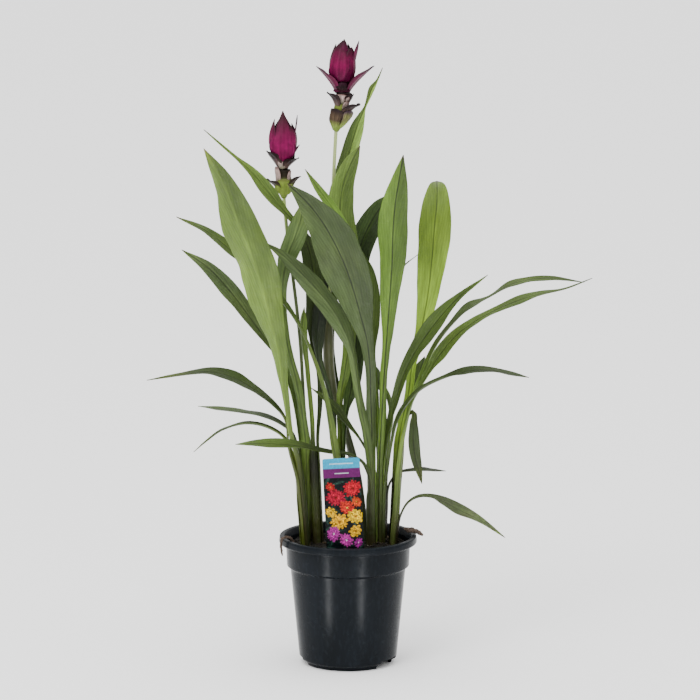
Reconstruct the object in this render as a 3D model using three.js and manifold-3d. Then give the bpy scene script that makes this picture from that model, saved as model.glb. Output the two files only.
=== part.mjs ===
// Potted siam tulip: ten leafy shoots and two flower spikes in a round nursery pot.
// Units are millimetres, +Z is up. The origin is the middle of the pot's underside,
// and the plant is seen from the front along +Y, with +X to the right.
import * as THREE from 'three';
import { mergeVertices } from 'three/addons/utils/BufferGeometryUtils.js';
import Module from 'manifold-3d';

const wasm = await Module();
wasm.setup();

// Driving dimensions of the pot
const RIM_RADIUS = 70;
const RIM_INNER_RADIUS = 64.5;
const RIM_TOP = 132;
const LIP_HEIGHT = 8;
const COLLAR_RADIUS = 63;
const COLLAR_BOTTOM = 101;
const BODY_TOP_RADIUS = 58.5;
const BODY_BOTTOM_RADIUS = 49.5;
const BODY_BOTTOM = 6.5;
const BASE_RADIUS = 44.5;
const FOOT_WIDTH = 3;
const HUB_RADIUS = 27;
const FLOOR_HEIGHT = 9.5;
const WALL = 1.2;
const POT_SEGMENTS = 32;
const NOTCH_ANGLES = [-29, 77, 183];
const NOTCH_WIDTH = 30;
const NOTCH_HEIGHT = 8;
const NOTCH_DEPTH = 16;

// Soil: a filling of peat with an uneven top, in which the shoots stand a little deep, with
// a small clearance round each of them and round the label
const SOIL_TOP = 121;
const SOIL_UNEVEN = 1.4;
const PLANTING_DEPTH = 15;
const FIT = 0.4;
const HOLE_FIT = 0.6;
const FOOT_GAP = 0.3;

// Leaves: sheaths wrap the shoot in layers, stalks are channels with a high curl, and blades
// are thin ribbons with a low curl and gently waved edges. The view's slope is the tangent
// of the angle at which the front view looks down.
const CORE_RADIUS = 3;
const SHEATH_RADIUS = 4;
const SHEATH_STEP = 1.35;
const SHEATH_THICKNESS = 0.7;
const BLADE_THICKNESS = 0.8;
const EDGE_THICKNESS = 0.6;
const CHANNEL_CURL = 70;
const BLADE_CURL = 22;
const STALK_WIDTH = 6;
const BLADE_WIDTH = 16;
const WAVE_LENGTH = 85;
const WAVE_HEIGHT = 0.06;
const VIEW_SLOPE = 0.1835;
const LEAF_POINTS = [-1, -0.5, 0, 0.5, 1];
const PETAL_POINTS = [-1, 0, 1];

const radians = THREE.MathUtils.degToRad;
const vector = (x, y, z) => new THREE.Vector3(x, y, z);
const FRONT = vector(0, -1, 0);

// Joining and cutting of closed meshes
function toSolid(geometry) {
  const bare = geometry.index ? geometry.toNonIndexed() : geometry.clone();
  bare.deleteAttribute('normal');
  bare.deleteAttribute('uv');
  const merged = mergeVertices(bare, 1e-4);
  return new wasm.Manifold(new wasm.Mesh({
    numProp: 3,
    vertProperties: new Float32Array(merged.attributes.position.array),
    triVerts: new Uint32Array(merged.index.array),
  }));
}

function fromSolid(solid) {
  const mesh = solid.getMesh();
  const geometry = new THREE.BufferGeometry();
  geometry.setAttribute('position', new THREE.BufferAttribute(mesh.vertProperties, 3));
  geometry.setIndex(new THREE.BufferAttribute(mesh.triVerts, 1));
  return geometry;
}

// The largest piece of the joined whole is its outer skin, without the small hollows
// that overlapping petals close in
function join(geometries) {
  const [first, ...others] = geometries.map(toSolid);
  const whole = others.reduce((joined, piece) => joined.add(piece), first);
  const [outer] = whole.decompose().sort((one, other) => other.volume() - one.volume());
  return fromSolid(outer);
}

function cut(geometry, tools) {
  return fromSolid(tools.map(toSolid).reduce((whole, tool) => whole.subtract(tool), toSolid(geometry)));
}

// Rings of points stacked one after the other, closed at both ends into one solid. A ring's
// second half runs back beside its first, and both halves are split into triangles alike.
function skin(rings) {
  const size = rings[0].length;
  const positions = rings.flat().flatMap((point) => [point.x, point.y, point.z]);
  const faces = [];
  for (let ring = 0; ring + 1 < rings.length; ring += 1) {
    for (let side = 0; side < size; side += 1) {
      const next = (side + 1) % size;
      const a = ring * size + side;
      const b = ring * size + next;
      const mirrored = side >= size / 2;
      if (mirrored) faces.push(a, b, b + size, a, b + size, a + size);
      else faces.push(a, b, a + size, b, b + size, a + size);
    }
  }
  for (const [start, flip] of [[0, true], [(rings.length - 1) * size, false]]) {
    for (let step = 0; step + 1 < size / 2; step += 1) {
      const left = start + step;
      const right = start + size - 1 - step;
      if (flip) faces.push(left, right, left + 1, left + 1, right, right - 1);
      else faces.push(left, left + 1, right, left + 1, right - 1, right);
    }
  }
  const geometry = new THREE.BufferGeometry();
  geometry.setAttribute('position', new THREE.Float32BufferAttribute(positions, 3));
  geometry.setIndex(faces);
  return geometry;
}

// A round rod along hand-set points, each [x, y, z, radius]
function rod(rows, sides) {
  const points = rows.map(([x, y, z]) => vector(x, y, z));
  const rings = rows.map(([, , , radius], index) => {
    const before = points[Math.max(index - 1, 0)];
    const after = points[Math.min(index + 1, points.length - 1)];
    const along = after.clone().sub(before).normalize();
    const side = vector(1, 0, 0).addScaledVector(along, -along.x).normalize();
    const other = along.clone().cross(side);
    return Array.from({ length: sides }, (_, corner) => {
      const angle = (2 * Math.PI * corner) / sides;
      return points[index].clone()
        .addScaledVector(side, radius * Math.cos(angle))
        .addScaledVector(other, radius * Math.sin(angle));
    });
  });
  return skin(rings);
}

// A ribbon: each station has its midrib point, its direction, the direction that its
// upper face looks, half its width along the surface, the curl of its cross-section
// in radians, half its thickness at the midrib and at the edge, and how far the edges wave
function ribbon(stations, shares) {
  return skin(stations.map((station) => {
    const { point, along, face, half, curl, thick, edge, wave } = station;
    const across = along.clone().cross(face).normalize();
    const radius = half / curl;
    const places = shares.map((share) => {
      const angle = share * curl;
      const rise = radius * (1 - Math.cos(angle)) + wave * Math.abs(share) * share;
      const middle = point.clone()
        .addScaledVector(face, rise)
        .addScaledVector(across, radius * Math.sin(angle));
      const normal = face.clone().multiplyScalar(Math.cos(angle))
        .addScaledVector(across, -Math.sin(angle));
      const depth = THREE.MathUtils.lerp(thick, edge, Math.abs(share));
      return { middle, normal, depth };
    });
    const upper = places.map(({ middle, normal, depth }) =>
      middle.clone().addScaledVector(normal, depth));
    const lower = places.map(({ middle, normal, depth }) =>
      middle.clone().addScaledVector(normal, -depth));
    return [...upper, ...lower.reverse()];
  }));
}

// The pot: an open round shell turned from one profile. Its floor is raised between a middle
// foot and the outer one, and three wide drainage notches open the outer foot.
function pot() {
  const inner = (radius) => radius - WALL;
  const profile = [
    [0, 0], [HUB_RADIUS - 1, 0], [HUB_RADIUS, 1], [HUB_RADIUS, FLOOR_HEIGHT - WALL],
    [BASE_RADIUS - FOOT_WIDTH, FLOOR_HEIGHT - WALL], [BASE_RADIUS - FOOT_WIDTH, 0],
    [BASE_RADIUS - 0.6, 0], [BASE_RADIUS + 0.6, 3.5], [BODY_BOTTOM_RADIUS - 0.6, BODY_BOTTOM - 1],
    [BODY_BOTTOM_RADIUS, BODY_BOTTOM + 1], [BODY_TOP_RADIUS, COLLAR_BOTTOM - 2],
    [COLLAR_RADIUS - 1, COLLAR_BOTTOM], [COLLAR_RADIUS, RIM_TOP - LIP_HEIGHT],
    [RIM_RADIUS - 1, RIM_TOP - LIP_HEIGHT], [RIM_RADIUS, RIM_TOP - LIP_HEIGHT + 1.5],
    [RIM_RADIUS - 0.6, RIM_TOP - 0.8], [RIM_RADIUS - 2, RIM_TOP],
    [RIM_INNER_RADIUS, RIM_TOP - 0.4], [inner(COLLAR_RADIUS), RIM_TOP - LIP_HEIGHT + 1],
    [inner(COLLAR_RADIUS - 1), COLLAR_BOTTOM + WALL], [inner(BODY_TOP_RADIUS), COLLAR_BOTTOM - 1],
    [inner(BODY_BOTTOM_RADIUS), FLOOR_HEIGHT], [HUB_RADIUS - WALL, FLOOR_HEIGHT],
    [HUB_RADIUS - WALL, WALL], [0, WALL],
  ];
  const shell = new THREE.LatheGeometry(
    profile.map(([radius, height]) => new THREE.Vector2(radius, height)), POT_SEGMENTS);
  shell.rotateX(Math.PI / 2);
  const notches = NOTCH_ANGLES.map((angle) => {
    const notch = new THREE.BoxGeometry(NOTCH_DEPTH, NOTCH_WIDTH, NOTCH_HEIGHT + 1);
    notch.translate(BASE_RADIUS, 0, (NOTCH_HEIGHT - 1) / 2);
    return notch.rotateZ(radians(angle));
  });
  return cut(shell, notches);
}

// Shoots: each has its foot at FOOT_HEIGHT and a straight axis to its head at HEAD_HEIGHT,
// and "top" is the height where its rolled centre ends. The flower spikes of shoots b and g
// rise from their centres.
const FOOT_HEIGHT = 100;
const HEAD_HEIGHT = 230;
const SHOOTS = {
  a: { foot: [-39.5, 1], head: [-50.5, 0], top: 216, layers: 3 },
  b: { foot: [-41, 15], head: [-42.5, 15], layers: 2 },
  c: { foot: [-29.5, 9], head: [-35, 9], top: 224, layers: 1 },
  d: { foot: [24, 2], head: [23, 1], top: 214, layers: 2 },
  e: { foot: [32, 12.5], head: [33.5, 12.5], top: 214, layers: 2 },
  f: { foot: [43, 3], head: [54, 4], top: 200, layers: 2 },
  g: { foot: [20.5, 21.5], head: [2.5, 25.5], layers: 2 },
  h: { foot: [33, 30.5], head: [38.5, 30.5], top: 216, layers: 2 },
  i: { foot: [-5, 4], head: [-9.5, 5], top: 214, layers: 2 },
  j: { foot: [44.5, 21], head: [51, 21], top: 214, layers: 2 },
};

function onAxis(shoot, height) {
  const { foot, head } = SHOOTS[shoot];
  const share = (height - FOOT_HEIGHT) / (HEAD_HEIGHT - FOOT_HEIGHT);
  return vector(
    THREE.MathUtils.lerp(foot[0], head[0], share),
    THREE.MathUtils.lerp(foot[1], head[1], share),
    height);
}

function axisDirection(shoot) {
  return onAxis(shoot, HEAD_HEIGHT).sub(onAxis(shoot, FOOT_HEIGHT)).normalize();
}

// The face direction for a turn about a leaf: 0 faces the front, 90 faces right on a rising
// leaf and up on one that runs left, and 180 shows the underside to the front
function faceDirection(along, turn) {
  const front = FRONT.clone().addScaledVector(along, -along.dot(FRONT)).normalize();
  const side = along.clone().cross(front);
  return front.multiplyScalar(Math.cos(radians(turn)))
    .addScaledVector(side, Math.sin(radians(turn)));
}

// Leaves: the shoot, the sheath's layer, half the angle that the sheath wraps, the height where
// it leaves the shoot, its turn there, how far its tip leans to the back (or to the front where
// negative), and rows [x, y, z, width, turn] from stalk to tip, read from the front view
const LEAVES = {
  leaf_left_broad: { shoot: 'a', layer: 0, wrap: 70, leave: 205, turn: 120, lean: -30, rows: [
    [-58, -7, 231, 8, 122], [-65, -13, 284, 10, 138], [-70, -17, 323, 18, 152],
    [-77, -21, 352, 27, 160], [-90, -27, 406, 40, 165], [-107, -33, 452, 37, 165],
    [-125, -40, 501, 19, 165], [-142, -45, 532, 1.5, 165]] },
  leaf_left_low_arch: { shoot: 'a', layer: 1, wrap: 60, leave: 182, turn: 95, lean: -30, rows: [
    [-61, 3, 222, 5, 92], [-65, 1, 252, 6, 85], [-77, -2, 267, 12, 75], [-94, -6, 282, 17, 70],
    [-114, -10, 295, 19, 70], [-137, -12, 301.5, 14, 70], [-169, -14, 299, 7, 70],
    [-201, -15, 294, 1.2, 70]] },
  leaf_left_lowest: { shoot: 'a', layer: 2, wrap: 50, leave: 160, turn: 60, lean: 30, rows: [
    [-58, 10, 214, 5, 65], [-65, 10, 229, 6, 80], [-79, 9, 239, 8, 88], [-99, 7, 244.5, 9, 88],
    [-126, 5, 239, 9, 88], [-145, 4, 226, 6, 88], [-157, 3, 216, 1.2, 88]] },
  leaf_left_dark: { shoot: 'b', layer: 0, wrap: 55, leave: 205, turn: 57, lean: 35, rows: [
    [-49.4, 15.4, 227, 7, 60], [-54.5, 14, 263, 7, 60], [-61, 12, 289, 7, 45],
    [-69, 11, 312, 7, 35], [-82, 9, 330, 8, 30], [-99, 6, 354, 15, 28], [-119, 4, 381.5, 18, 25],
    [-139, 2, 404, 13, 25], [-168, 0, 425, 1.2, 25]] },
  leaf_centre_left: { shoot: 'b', layer: 0, wrap: 60, leave: 212, turn: 181, lean: 0, rows: [
    [-45.5, 6, 249, 8, 181], [-52.5, 5, 291, 8, 180], [-60, 5, 321, 7.5, 180], [-65, 6, 352, 7, 180],
    [-66, 8, 377, 7, 180], [-62, 8, 403, 14, 180], [-59, 8, 421, 19, 180],
    [-54, 8, 440, 17, 180], [-48, 8, 467, 1.2, 180]] },
  leaf_left_short_arch: { shoot: 'b', layer: 1, wrap: 60, leave: 182, turn: 95, lean: 50, rows: [
    [-51, 12.5, 217, 5, 90], [-59, 11, 236, 6, 82], [-69, 10, 244, 8, 80],
    [-87, 9, 252, 12, 80], [-107, 7, 256.5, 12, 80], [-129, 5, 260, 9, 80],
    [-153, 4, 263, 1.2, 80]] },
  leaf_upper_left_narrow: { shoot: 'c', layer: 0, wrap: 50, leave: 200, turn: -80, lean: 0, rows: [
    [-29.5, 9.5, 228, 6.5, -75], [-27, 10, 264, 6.5, -50], [-28, 13, 294, 6.5, -20],
    [-33, 17, 324, 9, 5], [-36, 19, 355, 15, 15], [-37, 20, 390, 16, 20],
    [-43, 18, 425, 12, 25], [-52, 14, 447, 7, 35], [-64, 8, 462, 10, 45], [-80, 0, 483, 16, 45],
    [-98, -3, 505, 11, 50], [-112, -5, 518, 6, 60], [-144, -7, 547, 1.2, 50]] },
  leaf_small_inner: { shoot: 'c', layer: 0, wrap: 50, leave: 205, turn: 165, lean: 0, rows: [
    [-36, 2.5, 229, 4.5, 165], [-39, 2, 276, 4.5, 160], [-42, 2, 307, 5, 155],
    [-45, 2, 327, 7, 150], [-46, 3, 347, 8.5, 150], [-44, 4, 365, 1.2, 150]] },
  leaf_left_bright: { shoot: 'i', layer: 1, wrap: 60, leave: 145, turn: 175, lean: 0, rows: [
    [-8, -8, 180, 8, 165], [-13, -20, 218, 9, 150], [-18, -18, 249, 9, 135],
    [-27, -14, 289, 9, 115], [-37, -11, 319, 8.5, 100], [-50, -7, 348, 9, 90],
    [-64, -4, 369, 10, 75], [-86, -3, 393, 11, 65], [-108, -4, 415, 12, 60],
    [-124, -5, 430, 15, 58], [-142, -6, 444, 11, 58], [-172, -8, 459, 1.2, 58]] },
  leaf_behind_scape: { shoot: 'i', layer: 0, wrap: 60, leave: 205, turn: -40, lean: 5, rows: [
    [-7, 9.5, 238, 6, -35], [-7, 12, 274, 7, -15], [-3, 13, 299, 10, 0], [1, 14, 325, 12, 0],
    [3, 16, 360, 17, 0], [2, 18, 396, 23, 0], [-3, 18, 432, 27, 0], [-8, 17, 465, 26, 0],
    [-4, 15, 491, 21, 0], [4, 13, 512, 14, 0], [12, 12, 528, 1.2, 0]] },
  leaf_right_dark_upper: { shoot: 'i', layer: 1, wrap: 55, leave: 185, turn: -55, lean: 25, rows: [
    [-3, 12.5, 227, 5.5, -50], [-1, 16, 256, 7, -30], [4, 20, 283, 16, -10],
    [8, 24, 318, 18, 0], [8, 28, 358, 20, 0], [7, 30, 391, 24, 0], [13, 30, 425, 26, 0],
    [22, 28, 446, 25, 0], [33, 26, 464, 18, 0], [44, 25, 478, 1.2, 0]] },
  leaf_inner_dark: { shoot: 'i', layer: 0, wrap: 60, leave: 200, turn: 130, lean: 0, rows: [
    [-14, 2, 229, 4.5, 135], [-15, 6, 254, 4.5, 145], [-21, 5, 285, 5, 155],
    [-30, 5, 314, 7, 160], [-31, 8, 336, 14, 165], [-28, 9, 360, 15, 170],
    [-20, 9, 398, 1.2, 170]] },
  leaf_tallest: { shoot: 'g', layer: 1, wrap: 65, leave: 195, turn: 20, lean: 40, rows: [
    [0, 33, 223, 7, 15], [-10, 38, 264, 7, 5], [-17, 40, 305, 8, 0], [-18, 41, 346, 10, 0],
    [-17, 42, 387, 16, 0], [-15, 43, 428, 20, 0], [-10, 43, 468, 21, 0], [-2, 42, 504, 17, 0],
    [7, 40, 538, 15, 0], [15, 38, 559, 8, 25], [22, 37, 575, 4.5, 45], [35, 35, 606, 1.2, 20]] },
  leaf_light_tip: { shoot: 'd', layer: 1, wrap: 55, leave: 188, turn: -10, lean: 0, rows: [
    [25, 9, 228, 6, -8], [23, 6, 270, 6, 0], [20, 1, 307, 6, 0], [16, -3, 338, 7, 0],
    [10, -6, 380, 10, 0], [3, -6, 420, 11, 0], [-5, -4, 449, 10, 10], [-17, -3, 469, 10, 20],
    [-28, -2, 484, 8, 20], [-43, 0, 506, 1.2, 20]] },
  leaf_centre_broad: { shoot: 'd', layer: 0, wrap: 70, leave: 206, turn: 0, lean: -35, rows: [
    [24, 3, 232, 9, 0], [23, -6, 273, 9.5, 0], [22, -13, 307, 10, 0], [19, -17, 335, 14, 0],
    [13, -20, 359, 24, 0], [6, -23, 385, 37, 0], [-3, -25, 412, 46, 0], [-13, -26, 434, 44, 0],
    [-25, -25, 455, 34, 0], [-38, -22, 472, 22, 0], [-60, -18, 493, 1.5, 0]] },
  leaf_centre_diagonal: { shoot: 'd', layer: 0, wrap: 70, leave: 190, turn: 180, lean: -10, rows: [
    [19.5, -6.5, 231, 8, 180], [13.2, -9.5, 264, 8, 190], [9, -11, 294, 8, 195], [4, -13, 323, 9, 200],
    [-4, -13, 345, 17, 200], [-15, -12, 365, 21, 200], [-30, -11, 384, 21, 200],
    [-48, -9, 403, 17, 200], [-65, -9, 420, 9, 200], [-84, -12, 434, 1.2, 200]] },
  leaf_left_front_low: { shoot: 'd', layer: 1, wrap: 55, leave: 165, turn: 160, lean: -15, rows: [
    [20, -8, 196, 5, 140], [12, -10, 210, 6, 110], [0, -9.5, 216, 7.5, 90], [-14, -7.5, 217, 8.5, 80],
    [-30, -13, 221, 10, 75], [-50, -17, 227, 13, 70], [-70, -18, 229, 14, 65],
    [-91, -18, 229.5, 11, 65], [-113, -18, 229, 1.2, 65]] },
  leaf_right_tall: { shoot: 'e', layer: 0, wrap: 50, leave: 200, turn: 160, lean: -25, rows: [
    [33, 5.5, 229, 7, 165], [35, 1, 271, 7, 175], [38, -2, 321, 8, 180],
    [40, -4, 349, 13, 180], [42, -6, 378, 19, 180], [44, -7, 410, 25, 180],
    [45, -8, 444, 30, 180], [47, -9, 471, 26, 180], [51, -10, 497, 15, 180],
    [55, -11, 521, 1.2, 180]] },
  leaf_right_inner_dark: { shoot: 'e', layer: 0, wrap: 50, leave: 202, turn: 40, lean: 10, rows: [
    [29.5, 17, 226, 5.5, 30], [28, 17, 268, 6, 5], [25, 17, 299, 7, 0], [23, 17, 319, 10, 0],
    [24, 18, 345, 16, 0], [23, 19, 370, 18, 0], [20, 20, 396, 15, 0], [13, 21, 421, 1.2, 0]] },
  leaf_right_rising: { shoot: 'e', layer: 0, wrap: 50, leave: 195, turn: -80, lean: -35, rows: [
    [39, 14.5, 217, 7, -75], [43, 11, 244, 8, -55], [49, 4, 272, 10, -45], [58, -3, 302, 14, -45],
    [69, -7, 324, 18, -45], [82, -9, 344, 20, -45], [95, -11, 361, 17, -45],
    [110, -13, 377, 10, -50], [139, -17, 401, 1.2, -60]] },
  leaf_right_low_arch: { shoot: 'e', layer: 1, wrap: 55, leave: 165, turn: -100, lean: -45, rows: [
    [41, 9, 199, 6.5, -95], [45, 5, 226, 7.5, -85], [50, -1, 249, 9, -80], [59, -8, 267, 10, -80],
    [72, -10, 282, 9, -80], [93, -12, 294, 8, -85], [121, -15, 303, 14, -75],
    [145, -17, 304, 12, -75], [163, -19, 301, 8, -70], [180, -21, 298, 1.2, -70]] },
  leaf_arch_left_dark: { shoot: 'e', layer: 1, wrap: 60, leave: 175, turn: 90, lean: 0, rows: [
    [26, 14, 198, 4.5, 90], [18, 12, 216, 4.5, 85], [9, 7, 232, 5, 80], [-2, 2, 246, 9, 60],
    [-11, 0, 259, 13, 50], [-23, 0, 272, 7, 50], [-37, 0, 283, 1.2, 50]] },
  leaf_right_rounded: { shoot: 'f', layer: 0, wrap: 70, leave: 178, turn: 20, lean: 15, rows: [
    [49, 11, 202, 8, 10], [52, 12, 231, 8, 0], [56, 12, 253, 8, 0], [61, 12, 274, 8, 0],
    [65, 12, 305, 8.5, 0], [71, 12, 328, 10, 0], [77, 12, 356, 17, 0], [82, 13, 387, 24, 0],
    [85, 14, 417, 30, 0], [87, 16, 444, 33, 0], [89, 21, 468, 29, 0], [90, 27, 479, 24, 0],
    [90.5, 36, 485, 16, 0], [91, 50, 487, 2, 0]] },
  leaf_right_long_lower: { shoot: 'f', layer: 0, wrap: 70, leave: 168, turn: -150, lean: -25, rows: [
    [51.5, 0, 188, 7, -145], [55, 1.5, 219, 7, -120], [60, 4, 248, 7, -90],
    [65, 5, 267, 7, -70], [74, 5, 284, 7, -60], [85, 5, 304, 11, -50], [95, 3, 320, 15, -45],
    [109, 0, 337, 14, -50], [128, -4, 352, 12, -55], [150, -9, 365, 10, -65],
    [172, -13, 375, 12, -60], [192, -17, 382, 9, -65], [214, -20, 387, 4, -70],
    [243, -24, 399, 1.2, -60]] },
  leaf_right_lowest: { shoot: 'f', layer: 1, wrap: 55, leave: 130, turn: -90, lean: -40, rows: [
    [54.8, 3.5, 153, 4.5, -90], [61, 3, 163.5, 5, -88], [70, 2, 169.5, 6, -85],
    [83, 1, 170.5, 8, -80], [96, 0, 166, 13, -65], [113, -2, 157.5, 15, -60],
    [130, -3, 149.5, 11, -60], [158, -4, 131, 1.2, -60]] },
  leaf_short_back: { shoot: 'h', layer: 0, wrap: 70, leave: 205, turn: 180, lean: 0, rows: [
    [41, 23.5, 230, 4.5, 180], [43.5, 23, 254, 4.5, 180], [40, 23, 271, 5, 180],
    [32, 22.5, 283, 10, 180], [26, 22, 294, 13, 180], [21, 21, 306, 1.5, 180]] },
  leaf_thin_tip: { shoot: 'h', layer: 0, wrap: 70, leave: 200, turn: 20, lean: 20, rows: [
    [38, 34.5, 223, 4.5, 20], [36, 34, 264, 4.5, 10], [38, 32, 306, 4.5, 10],
    [41, 30, 348, 7, 20], [45, 28, 379, 7, 40], [52, 26, 399, 5, 60], [73, 22, 418, 1.2, 80]] },
  leaf_flat_low_right: { shoot: 'h', layer: 1, wrap: 55, leave: 152, turn: -90, lean: 25, rows: [
    [45.5, 31, 182, 5, -90], [53, 32, 189, 5, -90], [63, 30, 191, 8, -88],
    [77, 28, 192, 11, -85], [89, 26, 192, 8, -85], [100, 24, 192, 1.2, -85]] },
  leaf_right_long_upper: { shoot: 'j', layer: 0, wrap: 55, leave: 200, turn: -80, lean: 30, rows: [
    [57, 24, 225, 6, -75], [65, 27, 261, 6.5, -65], [77, 31, 294, 7, -60], [90, 36, 321, 7, -60],
    [106, 42, 341, 9, -75], [124, 48, 358, 13, -70], [144, 54, 367, 9, -85],
    [167, 60, 379, 12, -65], [185, 64, 383, 9, -70], [206, 68, 384, 7, -60],
    [242, 74, 379, 1.2, -60]] },
  leaf_back_short: { shoot: 'j', layer: 0, wrap: 55, leave: 200, turn: 40, lean: 20, rows: [
    [50, 28, 225, 4.5, 30], [57, 35, 252, 6, 0], [68, 38.5, 277, 10, -20],
    [74, 39, 295, 12, -20], [78, 40, 308, 2, -20]] },
  leaf_right_droop: { shoot: 'j', layer: 1, wrap: 50, leave: 165, turn: -110, lean: 0, rows: [
    [56, 17, 206, 5, -100], [58.5, 17, 239, 5, -85], [61.5, 17, 251, 5, -75],
    [64.5, 16, 254, 6, -55], [65.5, 14, 244, 9, -35], [66, 12, 225, 13, -30],
    [68.5, 11, 207, 12, -30], [72, 11, 194, 7, -30], [75, 11, 182, 1.2, -30]] },
};

// Half the cross-section's angle: a narrow stalk is a channel, a blade a shallow fold
function curlOf(width, pastWidest) {
  if (pastWidest) return radians(BLADE_CURL);
  const share = THREE.MathUtils.clamp((width - STALK_WIDTH) / (BLADE_WIDTH - STALK_WIDTH), 0, 1);
  return radians(THREE.MathUtils.lerp(CHANNEL_CURL, BLADE_CURL, share));
}

// The direction at each point: a blend of the two chords that meet there
function directionsAlong(points, first) {
  return points.map((point, index) => {
    if (index === 0) return first.clone();
    const back = point.clone().sub(points[index - 1]);
    if (index === points.length - 1) return back.normalize();
    const ahead = points[index + 1].clone().sub(point);
    return back.clone().multiplyScalar(ahead.length() / back.length())
      .addScaledVector(ahead, back.length() / ahead.length()).normalize();
  });
}

// The rows' points, moved back by a lean that grows with the square of the way to the tip, and
// down along the view's slope, so that the leaf looks the same from the front
function leanedPoints(rows, lean) {
  const points = rows.map(([x, y, z]) => vector(x, y, z));
  const ways = points.map((point, index) => (index ? point.distanceTo(points[index - 1]) : 0));
  const total = ways.reduce((sum, way) => sum + way, 0);
  let way = 0;
  return points.map((point, index) => {
    way += ways[index];
    const back = lean * (way / total) ** 2;
    return vector(point.x, point.y + back, point.z - back * VIEW_SLOPE);
  });
}

function leaf({ shoot, layer, wrap, leave, turn, lean, rows }) {
  const along = axisDirection(shoot);
  const inward = faceDirection(along, turn);
  const sheathRadius = SHEATH_RADIUS + layer * SHEATH_STEP;
  const sheath = [SOIL_TOP - PLANTING_DEPTH, leave].map((height) => ({
    point: onAxis(shoot, height).addScaledVector(inward, -sheathRadius),
    along,
    face: inward,
    half: sheathRadius * radians(wrap),
    curl: radians(wrap),
    thick: SHEATH_THICKNESS / 2,
    edge: SHEATH_THICKNESS / 2,
    wave: 0,
  }));
  const points = [sheath[1].point, ...leanedPoints(rows, lean)];
  const directions = directionsAlong(points, along).slice(1);
  const widest = Math.max(...rows.map(([, , , width]) => width));
  const widestRow = rows.findIndex(([, , , width]) => width === widest);
  let distance = 0;
  const blade = rows.map(([, , , width, rowTurn], index) => {
    distance += points[index + 1].distanceTo(points[index]);
    const curl = curlOf(width, index > widestRow);
    return {
      point: points[index + 1],
      along: directions[index],
      face: faceDirection(directions[index], rowTurn),
      half: (width / 2) * (curl / Math.sin(curl)),
      curl,
      thick: BLADE_THICKNESS / 2,
      edge: EDGE_THICKNESS / 2,
      wave: width * WAVE_HEIGHT * Math.sin((2 * Math.PI * distance) / WAVE_LENGTH),
    };
  });
  return ribbon([...sheath, ...blade], LEAF_POINTS);
}

// The rolled centre of a shoot, ending in a blunt point
function shootCentre(name) {
  const { top } = SHOOTS[name];
  const row = (height, radius) => [...onAxis(name, height).toArray(), radius];
  return rod([row(SOIL_TOP - PLANTING_DEPTH, CORE_RADIUS), row(top - 26, CORE_RADIUS),
    row(top - 10, 1.8), row(top, 0.5)], 8);
}

// Flower spikes. The left one is the centre of shoot b down to its foot. The right one comes
// out of the dark, swollen head of shoot g, in a plain hole.
const SCAPE_RADIUS = 1.75;
const LEFT_SCAPE = [
  [-41.1, 15, 106, CORE_RADIUS], [-42, 15, 190, CORE_RADIUS], [-43, 15, 220, 2],
  [-46, 15, 289, SCAPE_RADIUS], [-48.5, 16, 330, SCAPE_RADIUS], [-54, 17, 381, SCAPE_RADIUS],
  [-60, 18, 427, SCAPE_RADIUS], [-63, 18, 457, SCAPE_RADIUS], [-64.5, 18, 473.6, SCAPE_RADIUS],
];
const RIGHT_SCAPE = [
  [-20, 27, 322, SCAPE_RADIUS], [-19.5, 27, 350, SCAPE_RADIUS], [-18, 27, 399, SCAPE_RADIUS],
  [-15.5, 26, 471, SCAPE_RADIUS], [-13.5, 24, 515, SCAPE_RADIUS], [-12, 23, 540.5, SCAPE_RADIUS],
];
const SWOLLEN_SHOOT = [
  [19.7, 21.7, 106, 3.8], [6.1, 24.7, 204, 3.8], [-3, 26.2, 236, 3.8],
  [-13, 27, 266, 4], [-18.5, 27, 292, 5.4], [-20, 27, 324, 5.4], [-19.6, 27, 346, 3.4],
];

function swollenShoot() {
  const hole = RIGHT_SCAPE.slice(0, 3).map(([x, y, z]) => [x, y, z, SCAPE_RADIUS + FIT]);
  hole[0][2] -= FIT;
  return cut(rod(SWOLLEN_SHOOT, 10), [rod(hole, 8)]);
}

// Flower heads: rows [azimuth, start height, start radius, middle height, middle radius,
// tip height, tip radius, width], with azimuth 0 to the right and 270 to the front.
// The axis of a head leans by "lean" in X for each millimetre of height.
const PETAL_THICKNESS = 0.9;
const ERECT_CURL = 52;
const SPREAD_CURL = 34;
const LEFT_COMA = {
  base: [-65.3, 18, 503.5], lean: 0,
  core: [[5, 0], [8, 8], [11, 18], [11.8, 27], [8, 40], [2, 48]], rows: [
    [240, 6, 6.5, 27, 14.2, 50, 8.5, 19], [5, 6, 6.5, 27, 14.2, 49, 6.5, 19],
    [125, 6, 6.5, 27, 14.2, 51, 6, 19], [295, 6, 6.5, 30, 13.2, 59, 1.5, 20],
    [65, 6, 6.5, 28, 13.2, 54, 3.5, 18], [186, 6, 6.5, 29, 13.4, 51, 10, 17],
    [2, 26, 9, 42, 12.6, 54, 15, 6],
    [200, 1, 4, 11, 11, 20, 19.5, 18], [258, 1, 4, 10, 9.5, 18.5, 14, 18],
    [318, 1, 4, 8, 10, 12.5, 20, 17], [50, 1, 4, 10, 11, 17, 16, 17],
    [120, 1, 4, 10, 11, 17, 16, 17], [350, 10, 8, 19, 13.5, 25, 17, 9]],
};
const LEFT_BRACTS = {
  base: [-64.5, 18, 474], lean: 0,
  core: [[2.4, 0], [7, 5], [8.8, 11], [8, 19], [7, 29]], rows: [
    [202, 4, 6.5, 12, 12, 18.5, 21, 18], [340, 7, 7, 16, 11, 24, 18, 17],
    [268, 5, 6.5, 14, 9.5, 23, 12.5, 17], [90, 5, 6.5, 14, 10.5, 22, 15, 17]],
};
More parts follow.
